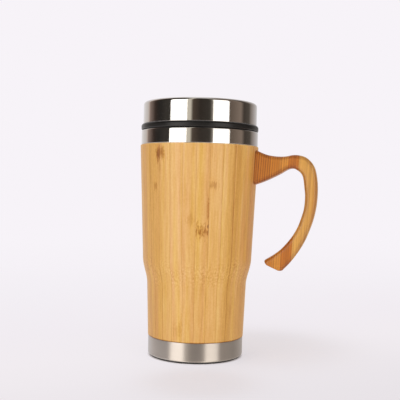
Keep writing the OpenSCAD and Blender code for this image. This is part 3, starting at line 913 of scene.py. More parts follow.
@dataclass
class Sleeve(SubAssembly):
    """Sleeve glued up from upright staves and turned as one."""

    line: SleeveLine = SleeveLine()
    wall_t: float = 4.6
    spigot_r: float = 33.15
    spigot_z: float = 5.8
    rebate_r: float = 39.05
    rebate_z: float = 143.35
    edge_r: float = 0.5
    edge_gap: float = 0.3
    stave_count: int = 28
    stave_turn: float = 2.2
    glue_gap: float = 0.05
    arris: float = 0.09
    arris_ratio: float = 1.5
    inset: float = 0.02
    columns: int = 7
    seed: int = 11
    # What chance draws for the staves behind: tone and slope, the share of them that has a
    # mark, and the mark's place, height, width and depth
    drawn_tone: Pair = (0.28, 0.48)
    drawn_slope: Pair = (-0.08, 0.08)
    marked_share: float = 0.35
    mark_across: Pair = (-2, 2)
    mark_z: Pair = (30, 140)
    mark_half_h: Pair = (2.5, 7.0)
    mark_half_w: float = 4.4
    mark_depth: float = 0.36
    # Looks of the staves in front, by their number round the axis
    looks: dict[int, StaveLook] = field(default_factory=lambda: {
        15: StaveLook(0.46), 16: StaveLook(0.43), 17: StaveLook(0.46),
        18: StaveLook(0.47, CaneMark(3.9, 142.2, 3.3, 6.4, 0.43),
                      CaneMark(1.4, 120.0, 1.6, 3.5, 0.24), -0.03),
        19: StaveLook(0.37, CaneMark(-3.0, 142.8, 4.4, 5.4, 0.42),
                      CaneMark(-3.4, 134.5, 1.5, 7.0, 0.16), -0.05),
        20: StaveLook(0.34, CaneMark(1.0, 22.0, 4.2, 6.0, 0.15),
                      CaneMark(3.4, 31.0, 0.8, 12.0, 0.20), 0.03),
        21: StaveLook(0.34, CaneMark(1.2, 98.0, 3.6, 4.5, 0.15), slope=0.03),
        22: StaveLook(0.38, CaneMark(0.4, 90.5, 6.0, 6.5, 0.46),
                      CaneMark(3.6, 103.5, 0.8, 9.0, 0.26), 0.03),
        23: StaveLook(0.38, CaneMark(-2.0, 121.5, 3.6, 3.0, 0.22)),
        24: StaveLook(0.45, slope=0.13), 25: StaveLook(0.48, slope=-0.09),
        26: StaveLook(0.46, slope=0.07), 27: StaveLook(0.49),
    })

    def profile(self) -> list[tuple[float, float, bool]]:
        """Section of a stave.

        Returns:
            Radius and height of each point of the closed profile, and whether it is outside.
        """
        line = self.line
        low_z, high_z = line.base_z + self.edge_r, line.top_z - self.edge_r
        edge = self.edge_r + self.inset
        outside = [
            *arc((line.radius(low_z) - edge, low_z), self.edge_r, -90, 0, 5),
            *line.wall(self.inset, low_z + self.edge_gap, high_z - self.edge_gap),
            *arc((line.radius(high_z) - edge, high_z), self.edge_r, 0, 90, 5)]
        below = [(self.spigot_r, self.spigot_z), (self.spigot_r, line.base_z)]
        within = [(self.rebate_r, line.top_z), (self.rebate_r, self.rebate_z),
                  *line.wall(self.wall_t, line.base_z, self.rebate_z)[::-1],
                  (line.base_r - self.wall_t, self.spigot_z)]
        return [(*point, points is outside) for points in (below, outside, within)
                for point in points]

    def stave(self) -> bpy.types.Object:
        """Build one stave about the X axis, with eased long edges and its own UV map.

        Returns:
            The stave, with millimetres across and along it in the UV map.
        """
        half = math.pi / self.stave_count - self.glue_gap / 2 / self.line.top_r
        ease = self.arris_ratio * self.arris / self.line.top_r
        last = self.columns - 1
        inner = [half * (2 * i / last - 1) for i in range(1, last)]
        shell = Shell()
        across = shell.bm.verts.layers.float.new("across")
        place: dict[bmesh.types.BMVert, Pair] = {}
        points = self.profile()
        loops = []
        for angle in (-half, -half + ease, *inner, half - ease, half):
            radii = [r - (self.arris if out and abs(angle) == half else 0.0)
                     for r, _, out in points]
            loops.append(shell.loop((r * math.cos(angle), r * math.sin(angle), z)
                                    for r, (_, z, _) in zip(radii, points)))
            for vert, (r, z, _) in zip(loops[-1], points):
                vert[across] = angle / half
                place[vert] = (r * angle, z)
        shell.skin(loops, 0, -1)
        for face in shell.bm.faces:
            for corner in face.loops:
                corner[shell.uv].uv = place[corner.vert]
        return shell.make("stave")

    def look_of(self, index: int, chance: random.Random) -> StaveLook:
        """Look of a stave: set for those in front, drawn for those behind.

        Args:
            index: Number of the stave.
            chance: Seeded source of chance.

        Returns:
            The look.
        """
        tone = chance.uniform(*self.drawn_tone)
        z = chance.uniform(*self.mark_z)
        marked = chance.random() < self.marked_share
        half_h = chance.uniform(*self.mark_half_h)
        if index in self.looks:
            return self.looks[index]
        mark = NO_MARK
        if marked:
            mark = CaneMark(chance.uniform(*self.mark_across), z, self.mark_half_w, half_h,
                            self.mark_depth)
        return StaveLook(tone, mark, slope=chance.uniform(*self.drawn_slope))

    def build(self) -> None:
        """Repeat the stave round the axis and give each its tone and marks."""
        repeater = Repeater(Repeat.RING, self.stave_count, math.radians(self.stave_turn),
                            2 * math.pi / self.stave_count, "stave")
        mesh = repeater.mesh(self.stave(), self.materials[Slot.SLEEVE])
        chance = random.Random(self.seed)
        looks = [self.look_of(i, chance) for i in range(self.stave_count)]
        picked = [looks[int(item.value)] for item in mesh.attributes["stave"].data]
        across = [item.value for item in mesh.attributes["across"].data]
        tones = [look.tone + look.slope * share for look, share in zip(picked, across)]
        mesh.attributes.new("tone", "FLOAT", "POINT").data.foreach_set("value", tones)
        for name in ("mark", "streak"):
            marks: list[CaneMark] = [getattr(look, name) for look in picked]
            places = [part for m in marks for part in (m.across, m.z, m.depth)]
            sizes = [part for m in marks for part in (m.half_w, m.half_h, 1.0)]
            for key, values in ((name, places), (f"{name}_size", sizes)):
                attribute = mesh.attributes.new(key, "FLOAT_VECTOR", "POINT")
                attribute.data.foreach_set("vector", values)
        self.show(mesh_object("turned_sleeve", mesh, 35), Body.MUG, Slot.SLEEVE, "bamboo_sleeve")


@dataclass
class SteelBody(SubAssembly):
    """Polished collar, drawn liner and brushed base cap with its rubber foot."""

    line: SleeveLine = SleeveLine()
    collar_r: float = 41.6
    collar_t: float = 0.7
    collar_edge_r: float = 1.0
    collar_hem_r: float = 0.3
    collar_z0: float = 149.45
    collar_z1: float = 159.95
    collar_seat_z: float = 159.35
    collar_bevel: float = 0.3
    lip_gap: float = 0.1
    mouth_gap: float = 0.05
    skirt_r: float = 39.0
    skirt_z: float = 143.4
    mouth_r: float = 37.2
    mouth_z: float = 145.1
    mouth_edge_r: float = 0.5
    neck_z: float = 142.5
    lip_r: float = 40.4
    lip_z: float = 160.0
    liner_t: float = 0.6
    liner_inset: float = 5.5
    liner_z0: float = 15.0
    floor_r: float = 28.6
    floor_corner_r: float = 4.5
    base_r: float = 33.8
    base_t: float = 0.6
    base_z0: float = 1.2
    base_z1: float = 14.25
    base_edge_r: float = 1.2
    base_rim_r: float = 0.2
    recess_r: float = 32.1
    recess_z: float = 2.0
    foot_r: float = 32.0
    foot_z1: float = 1.95
    foot_edge_r: float = 0.3
    grooves: Pair = (14.0, 24.0)
    groove: Profile = field(default_factory=lambda: [
        (0.0, 0.0), (0.3, 0.5), (0.5, 0.6), (1.5, 0.6), (1.7, 0.5), (2.0, 0.0)])

    def build(self) -> None:
        """Build the collar, the liner, the base cap and the foot."""
        for name, profile, closed, slot, node in (
                ("polished_collar", self.collar(), True, Slot.POLISHED, "rim_collar"),
                ("drawn_liner", self.liner(), False, Slot.LINER, "inner_cup"),
                ("brushed_base", self.base(), False, Slot.BRUSHED, "base_cap"),
                ("rubber_foot", self.foot(), False, Slot.RUBBER, "foot_pad")):
            self.turn(name, profile, closed, Body.MUG, slot, node)

    def collar(self) -> Profile:
        """Section of the collar: skirt in the sleeve, bead round the lip, seat below it.

        Returns:
            The closed profile.
        """
        hem, edge, wall, bevel = (self.collar_hem_r, self.collar_edge_r, self.collar_t,
                                  self.collar_bevel)
        r, low, high, seat = self.collar_r, self.collar_z0, self.collar_z1, self.collar_seat_z
        mouth, lip = self.mouth_r + self.liner_t + self.mouth_gap, self.lip_r + self.lip_gap
        return [
            (self.skirt_r - wall, self.skirt_z), (self.skirt_r, self.skirt_z),
            (self.skirt_r, low), *arc((r - hem, low + hem), hem, -90, 0, 4),
            *arc((r - edge, high - edge), edge, 0, 90), (lip, high), (lip, seat), (mouth, seat),
            (mouth, seat - wall), (r - wall - bevel, seat - wall), (r - wall, seat - wall - bevel),
            (r - wall, low + wall), (self.skirt_r - wall, low + wall)]

    def liner(self) -> Profile:
        """Section of the liner with its rolled lip.

        Returns:
            The profile from the axis outside to the axis inside.
        """
        wall, corner, z0 = self.liner_t, self.floor_corner_r, self.liner_z0
        mouth, lip, edge = self.mouth_r, self.lip_r, self.mouth_edge_r
        centre = (self.floor_r - corner, z0 + corner)
        outer, inner = (self.line.wall(self.liner_inset + t, z0 + 2 * corner, self.neck_z)
                        for t in (0.0, wall))
        return [
            (0.0, z0), *arc(centre, corner, -90, 0), *outer,
            (mouth + wall, self.mouth_z), (mouth + wall, self.lip_z - wall),
            *arc((lip - wall / 2, self.lip_z - wall / 2), wall / 2, -90, 90, 8),
            *arc((mouth + edge, self.lip_z - edge), edge, 90, 180, 6),
            (mouth, self.mouth_z), *inner[::-1],
            *arc(centre, corner - wall, 0, -90), (0.0, z0 + wall)]

    def base(self) -> Profile:
        """Section of the base cap with its recess for the foot.

        Returns:
            The profile from the axis below to the axis above.
        """
        edge, wall, r, rim = self.base_edge_r, self.base_t, self.base_r, self.base_rim_r
        return [
            (0.0, self.recess_z), (self.recess_r, self.recess_z), (self.recess_r, self.base_z0),
            *arc((r - edge, self.base_z0 + edge), edge, -90, 0),
            *arc((r - rim, self.base_z1 - rim), rim, 0, 90, 4), (r - wall, self.base_z1),
            (r - wall, self.recess_z + wall), (0.0, self.recess_z + wall)]

    def foot(self) -> Profile:
        """Section of the foot pad with its two shallow grip grooves.

        Returns:
            The profile from the axis below to the axis above.
        """
        edge, r = self.foot_edge_r, self.foot_r
        return [
            (0.0, 0.0), *((start + x, z) for start in self.grooves for x, z in self.groove),
            *arc((r - edge, edge), edge, -90, 0, 5), (r, self.foot_z1), (0.0, self.foot_z1)]


@dataclass
class Handle(SubAssembly):
    """Open handle cut from one laminated board: broad at the root, free at the tail."""

    line: SleeveLine = SleeveLine()
    reach: float = 42.75
    drop: float = 84.0
    root_z: float = 147.0
    thickness: float = 17.0
    edge_r: float = 3.0
    tail_edge_r: float = 1.1
    tail_edge_steps: int = 6
    tail_swell: float = 1.9
    fit_gap: float = 0.05
    root_gap: float = 0.4
    root_shares: Point = (0.25, 0.5, 0.75)
    halvings: int = 24
    steps: int = 5
    corner_steps: int = 7
    outer: tuple[Pair, ...] = (
        (-0.050, -0.008), (0.079, 0.022), (0.178, 0.040), (0.322, 0.051), (0.466, 0.050),
        (0.609, 0.037), (0.748, 0.046), (0.845, 0.074), (0.921, 0.122), (0.961, 0.180),
        (0.987, 0.267), (0.991, 0.365), (0.975, 0.465), (0.936, 0.564), (0.872, 0.665),
        (0.790, 0.765), (0.678, 0.861), (0.567, 0.936), (0.474, 0.986))
    inner: tuple[Pair, ...] = (
        (-0.050, 0.291), (0.090, 0.265), (0.237, 0.231), (0.380, 0.193), (0.506, 0.155),
        (0.594, 0.147), (0.668, 0.165), (0.715, 0.184), (0.749, 0.211), (0.766, 0.245),
        (0.780, 0.302), (0.795, 0.375), (0.784, 0.470), (0.748, 0.545), (0.685, 0.635),
        (0.589, 0.721), (0.440, 0.813), (0.300, 0.873), (0.164, 0.917))

    def curve(self, shares: Sequence[Pair]) -> list[Vector]:
        """Smooth curve through named points, each a share of the reach and of the drop.

        Args:
            shares: The named points.

        Returns:
            Points of the curve as X and Z.
        """
        p = [Vector((self.line.top_r + x * self.reach, self.root_z - y * self.drop))
             for x, y in shares]
        points = []
        for a, b, c, d in zip([p[0], *p], p, p[1:], [*p[2:], p[-1]]):
            for t in (k / self.steps for k in range(self.steps)):
                points.append((2 * b + (c - a) * t + (2 * a - 5 * b + 4 * c - d) * t ** 2
                               + (3 * b - 3 * c + d - a) * t ** 3) / 2)
        return [*points, p[-1]]

    def ring(self, inner: Vector, outer: Vector, inset: float = 0.0, advance: float = 0.0,
             swell: float = 0.0) -> Ring:
        """Rounded section between an inner and an outer point.

        Args:
            inner: Point on the inner outline.
            outer: Point on the outer outline.
            inset: How far the section is drawn in.
            advance: How far it is moved on along the tail.
            swell: How far its middle is moved on more.

        Returns:
            Each point with how far round an edge it is, from none to one.
        """
        half_w = (outer - inner).length / 2
        u = (outer - inner).normalized()
        tail = Vector((u.y, -u.x))
        middle = (inner + outer) / 2
        radius = self.edge_r - inset
        points = []
        for quarter, (side_w, side_t) in enumerate(((1, 1), (-1, 1), (-1, -1), (1, -1))):
            for k in range(self.corner_steps + 1):
                a = math.radians(90 * (quarter + k / self.corner_steps))
                s = side_w * (half_w - inset - radius) + radius * math.cos(a)
                t = side_t * (self.thickness / 2 - inset - radius) + radius * math.sin(a)
                lift = swell * (1 - (s / half_w) ** 2)
                p = middle + u * s + tail * (advance + lift)
                points.append((Vector((p.x, t, p.y)), abs(math.sin(2 * a))))
        return points

    def outside(self, p: Vector) -> float:
        """Distance of a point from the sleeve with its glue gap."""
        return math.hypot(p.x, p.y) - self.line.radius(p.z) - self.fit_gap

    def joined(self, rings: list[Ring]) -> list[Ring]:
        """Trim the rings to the sleeve and close their end on it.

        Args:
            rings: Rings from inside the sleeve to the tail.

        Returns:
            Rings from the middle of the root's end to the tail.
        """
        first = next(i for i, ring in enumerate(rings)
                     if min(self.outside(p) for p, _ in ring) > self.root_gap)
        met = []
        for column, (_, edge) in enumerate(rings[first]):
            i = max(k for k in range(first) if self.outside(rings[k][column][0]) < 0)
            low, high = rings[i][column][0], rings[i + 1][column][0]
            for _ in range(self.halvings):
                half = (low + high) / 2
                low, high = (half, high) if self.outside(half) < 0 else (low, half)
            met.append((high, edge))
        centre = sum((p for p, _ in met), Vector()) / len(met)
        ends = []
        for share in self.root_shares:
            shrunk = [centre + (p - centre) * share for p, _ in met]
            radii = [self.line.radius(q.z) + self.fit_gap for q in shrunk]
            ends.append([(Vector((math.sqrt(r * r - q.y ** 2), q.y, q.z)), 0.0)
                         for q, r in zip(shrunk, radii)])
        return [*ends, met, *rings[first:]]

    def build(self) -> None:
        """Sweep the sections from the sleeve to the tail."""
        outer, inner = self.curve(self.outer), self.curve(self.inner)
        rings = [self.ring(a, b) for a, b in zip(inner[:-1], outer[:-1])]
        for rise, out in arc((0, 0), self.tail_edge_r, 0, 90, self.tail_edge_steps):
            rings.append(self.ring(inner[-1], outer[-1], self.tail_edge_r - rise, out,
                                   self.tail_swell))
        shell = Shell()
        layer = shell.bm.verts.layers.float.new("edge")
        loops = []
        for ring in self.joined(rings):
            loops.append(shell.loop(tuple(p) for p, _ in ring))
            for vert, (_, edge) in zip(loops[-1], ring):
                vert[layer] = edge
        shell.skin(loops, 0, -1)
        self.show(shell.make("laminated_handle", 40), Body.MUG, Slot.HANDLE, "handle")


@dataclass
class Lid(SubAssembly):
    """Push-in lid: black plug and dish, polished steel cover and silicone seal."""

    lid_z: float = 180.0
    fit_gap: float = 0.05
    cover_r: float = 40.5
    cover_t: float = 0.6
    cover_z0: float = 164.35
    cover_edge_r: float = 2.2
    cover_hem_r: float = 0.04
    opening_r: float = 31.9
    opening_edge_r: float = 1.0
    hem_z: float = 177.0
    flange_r: float = 41.85
    flange_z0: float = 160.2
    flange_z1: float = 164.3
    flange_edge_r: float = 1.7
    flange_low_r: float = 0.8
    plug_r: float = 36.4
    plug_z0: float = 146.6
    plug_edge_r: float = 1.2
    plug_lead: float = 0.8
    bore_r: float = 34.0
    bore_bevel: float = 0.3
    groove_r: float = 35.6
    groove_z0: float = 149.12
    groove_z1: float = 157.12
    tube_r: float = 39.8
    crimp_r: float = 39.2
    crimp_h: float = 0.9
    tube_z1: float = 177.7
    wall_t: float = 1.6
    deck_z0: float = 177.75
    deck_z1: float = 179.35
    hem_r: float = 32.55
    hem_fillet_r: float = 0.2
    dish_z: float = 174.6
    dish_under_z: float = 173.0
    dish_wall_r: float = 34.15
    dish_bevel: float = 0.5
    dish_fillet_r: float = 1.0
    skirt_r: float = 38.15
    skirt_z: float = 172.75
    hole: Pair = (11.0, 6.5)
    hole_y: float = -25.5
    vent_r: float = 1.2
    vent_y: float = 25.5
    slot: Pair = (7.6, 16.6)
    slot_y: float = -1.6
    slot_corner: float = 0.8
    hole_edge_r: float = 0.4
    rail_x: float = 8.95
    rail: Pair = (1.3, 41.0)
    rail_h: float = 1.4
    rail_corner: float = 0.6
    rail_edge_r: float = 0.35
    seal_r0: float = 35.65
    seal_body_r: float = 36.4
    seal_r1: float = 37.15
    seal_z0: float = 149.22
    seal_z1: float = 157.02
    fin_count: int = 3
    fin_t: float = 0.9
    fin_tip_r: float = 0.2

    def build(self) -> None:
        """Build the cover, the plug, the seal and the dish."""
        for name, profile, body, slot, node in (
                ("polished_cover", self.cover(), Body.LID, Slot.POLISHED, "lid_cover"),
                ("moulded_plug", self.plug(), Body.LID, Slot.BLACK, "lid_plug"),
                ("silicone_seal", self.seal(), Body.SEAL, Slot.SILICONE, "lid_seal")):
            self.turn(name, profile, True, body, slot, node)
        self.show(self.dish(), Body.LID, Slot.BLACK, "lid_dish")

    def cover(self) -> Profile:
        """Section of the steel cover, crimped below and hemmed into the opening.

        Returns:
            The closed profile.
        """
        r, t, low, hem = self.cover_r, self.cover_t, self.cover_z0, self.cover_hem_r
        edge, inner, crimp = self.cover_edge_r, self.opening_edge_r, self.crimp_r + self.fit_gap
        centre = (r - edge, self.lid_z - edge)
        mouth = (self.opening_r + inner, self.lid_z - inner)
        return [
            (crimp, low), *arc((r - hem, low + hem), hem, -90, 0, 5),
            *arc(centre, edge, 0, 90, 16), *arc(mouth, inner, 90, 180),
            *arc((self.opening_r + t / 2, self.hem_z + t / 2), t / 2, 180, 360, 6),
            *arc(mouth, inner - t, 180, 90, 6), *arc(centre, edge - t, 90, 0, 10),
            (r - t, low + t), (crimp, low + t)]

    def plug(self) -> Profile:
        """Section of the plug with its groove, flange and tube.

        Returns:
            The closed profile.
        """
        r, foot, lead, bevel = self.plug_r, self.plug_z0, self.plug_edge_r, self.bore_bevel
        low, edge, under, over = (self.flange_low_r, self.flange_edge_r, self.flange_z0,
                                  self.flange_z1)
        inside = self.tube_r - self.wall_t
        return [
            (self.bore_r + bevel, foot), (r - self.plug_lead, foot),
            *arc((r - lead, foot + lead), lead, -60, 0, 6),
            (r, self.groove_z0), (self.groove_r, self.groove_z0),
            (self.groove_r, self.groove_z1), (r, self.groove_z1),
            (r, under), *arc((self.flange_r - low, under + low), low, -90, 0, 8),
            *arc((self.flange_r - edge, over - edge), edge, 0, 90, 14),
            (self.crimp_r, over), (self.crimp_r, over + self.crimp_h),
            (self.tube_r, over + self.crimp_h), (self.tube_r, self.tube_z1),
            (inside, self.tube_z1), (inside, over),
            (self.bore_r, under + self.wall_t), (self.bore_r, foot + bevel)]

    def seal(self) -> Profile:
        """Section of the seal with its rounded fins.

        Returns:
            The closed profile.
        """
        pitch = (self.seal_z1 - self.seal_z0) / self.fin_count
        tip = self.fin_tip_r
        profile: Profile = [(self.seal_r0, self.seal_z0)]
        for i in range(self.fin_count):
            middle = self.seal_z0 + (i + 0.5) * pitch
            profile += [(self.seal_body_r, middle - self.fin_t),
                        *arc((self.seal_r1 - tip, middle - self.fin_t / 4), tip, -70, 70, 6),
                        (self.seal_body_r, middle + self.fin_t / 2)]
        return [*profile, (self.seal_r0, self.seal_z1)]

    def dish(self) -> bpy.types.Object:
        """Dish with its deck, drinking hole, air hole, slider slot and rails.

        Returns:
            The dish as one object.
        """
        shell = Shell()
        floor, under, wall, edge = self.dish_z, self.dish_under_z, self.wall_t, self.hole_edge_r
        bevel, fillet, hem = self.dish_bevel, self.dish_fillet_r, self.hem_fillet_r
        step_z = self.hem_z - self.fit_gap
        rings = shell.lathe(guarded([
            (self.dish_wall_r - bevel, under), (self.dish_wall_r, under + bevel),
            (self.dish_wall_r, self.deck_z0), (self.skirt_r - wall, self.deck_z0),
            (self.skirt_r - wall, self.skirt_z), (self.skirt_r, self.skirt_z),
            (self.skirt_r, self.deck_z0), (self.tube_r, self.deck_z0),
            (self.cover_r - self.cover_edge_r, self.deck_z1),
            (self.opening_r + self.opening_edge_r, self.deck_z1),
            (self.hem_r, self.lid_z - self.opening_edge_r), (self.hem_r, step_z),
            *arc((self.opening_r + hem, step_z - hem), hem, 90, 180, 3),
            *arc((self.opening_r - fillet, floor + fillet), fillet, 0, -90, 8)], False), False)
        holes = []
        for (width, length), y, corner in (
                (self.hole, self.hole_y, self.hole[1] / 2 - SLIVER),
                (self.slot, self.slot_y, self.slot_corner),
                ((2 * self.vent_r, 2 * self.vent_r), self.vent_y, self.vent_r - SLIVER)):
            holes.append([
                shell.level(rounded_rectangle(width + 2 * out, length + 2 * out, corner + out,
                                              (0, y)), up)
                for out, up in (*arc((edge, floor - edge), edge, 90, 180, 4),
                                *arc((edge, under + edge), edge, 180, 270, 4))])
            shell.skin(holes[-1])
        for end, ring in ((0, rings[-1]), (-1, rings[0])):
            shell.fill(ring, [hole[end] for hole in holes])
        for side in (-1, 1):
            shell.slab(self.rail, self.rail_corner, floor - OVERLAP, floor + self.rail_h,
                       self.rail_edge_r, (side * self.rail_x, 0.0))
        return shell.make("moulded_dish")


@dataclass
class Slider(SubAssembly):
    """Thumb slider over the drinking hole, with grip ribs, and its hidden stem."""

    plate: Pair = (16.0, 39.05)
    plate_y0: float = -30.55
    plate_z0: float = 174.8
    plate_t: float = 1.8
    plate_corner: float = 6.0
    plate_edge: float = 0.6
    pocket: Pair = (13.1, 8.6)
    pocket_y: float = -25.5
    pocket_z: float = 175.7
    grip: Pair = (13.4, 13.4)
    grip_h: float = 1.2
    grip_corner: float = 2.5
    grip_edge: float = 0.9
    grip_y: float = -7.6
    rib_w: float = 10.2
    rib_count: int = 5
    rib_pitch: float = 2.45
    rib_r: float = 0.7
    rib_turns: tuple[int, ...] = (15, 40, 65, 90)
    stem: Pair = (7.0, 4.0)
    stem_corner: float = 0.5
    stem_edge: float = 0.05
    stem_z0: float = 171.3

    def rib(self) -> bpy.types.Object:
        """Build one rounded grip rib across the slider.

        Returns:
            The rib about the plane of Y nought.
        """
        shell = Shell()
        z = self.plate_z0 + self.plate_t + self.grip_h
        ends = [(self.rib_w / 2 - self.rib_r * (1 - math.cos(turn)), math.sin(turn))
                for turn in map(math.radians, self.rib_turns)]
        section = arc((0, 0), self.rib_r, 0, 360, 16)[:-1]
        shell.skin([shell.loop((x, y * share, z + h * share) for y, h in section)
                    for x, share in (*((-x, share) for x, share in ends), *ends[::-1])], 0, -1)
        return shell.make("rib")

    def build(self) -> None:
        """Build the slider with its ribs as one piece."""
        shell = Shell()
        middle = self.plate_y0 + self.plate[1] / 2
        low, top = self.plate_z0, self.plate_z0 + self.plate_t
        underside = shell.slab(self.plate, self.plate_corner, low, top, self.plate_edge,
                               (0, middle), (-1,))
        pocket = rounded_rectangle(*self.pocket, self.pocket[1] / 2 - SLIVER, (0, self.pocket_y))
        walls = [shell.level(pocket, z) for z in (low, self.pocket_z)]
        shell.skin(walls, 1)
        shell.fill(underside, walls[:1])
        centre = (0, self.grip_y)
        shell.slab(self.grip, self.grip_corner, top - OVERLAP, top + self.grip_h, self.grip_edge,
                   centre)
        shell.slab(self.stem, self.stem_corner, self.stem_z0, low + OVERLAP, self.stem_edge,
                   centre)
        first = self.grip_y - self.rib_pitch * (self.rib_count - 1) / 2
        repeater = Repeater(Repeat.ROW, self.rib_count, first * MM, self.rib_pitch * MM)
        shell.bm.from_mesh(repeater.mesh(self.rib(), self.materials[Slot.BLACK]))
        self.show(shell.make("moulded_slider", 35), Body.SLIDER, Slot.BLACK, "slider")


def swung(first: Vector, second: Vector, degrees: float) -> tuple[Vector, Vector]:
    """Turn a pair of square directions in their plane.

    Args:
        first: Direction that turns towards the second.
        second: Direction that turns away from the first.
        degrees: Angle of the turn.

    Returns:
        Both directions after the turn.
    """
    c, s = math.cos(math.radians(degrees)), math.sin(math.radians(degrees))
    return first * c + second * s, second * c - first * s


@dataclass(frozen=True)
class Softbox:
    """Tall soft light: its turn from the camera's side, its spread as seen from the mug, its
    lower and upper heights, the radiance of its face and whether steel mirrors it."""

    name: str
    turn: float
    spread: float
    low: float
    high: float
    level: float
    mirrored: bool = True


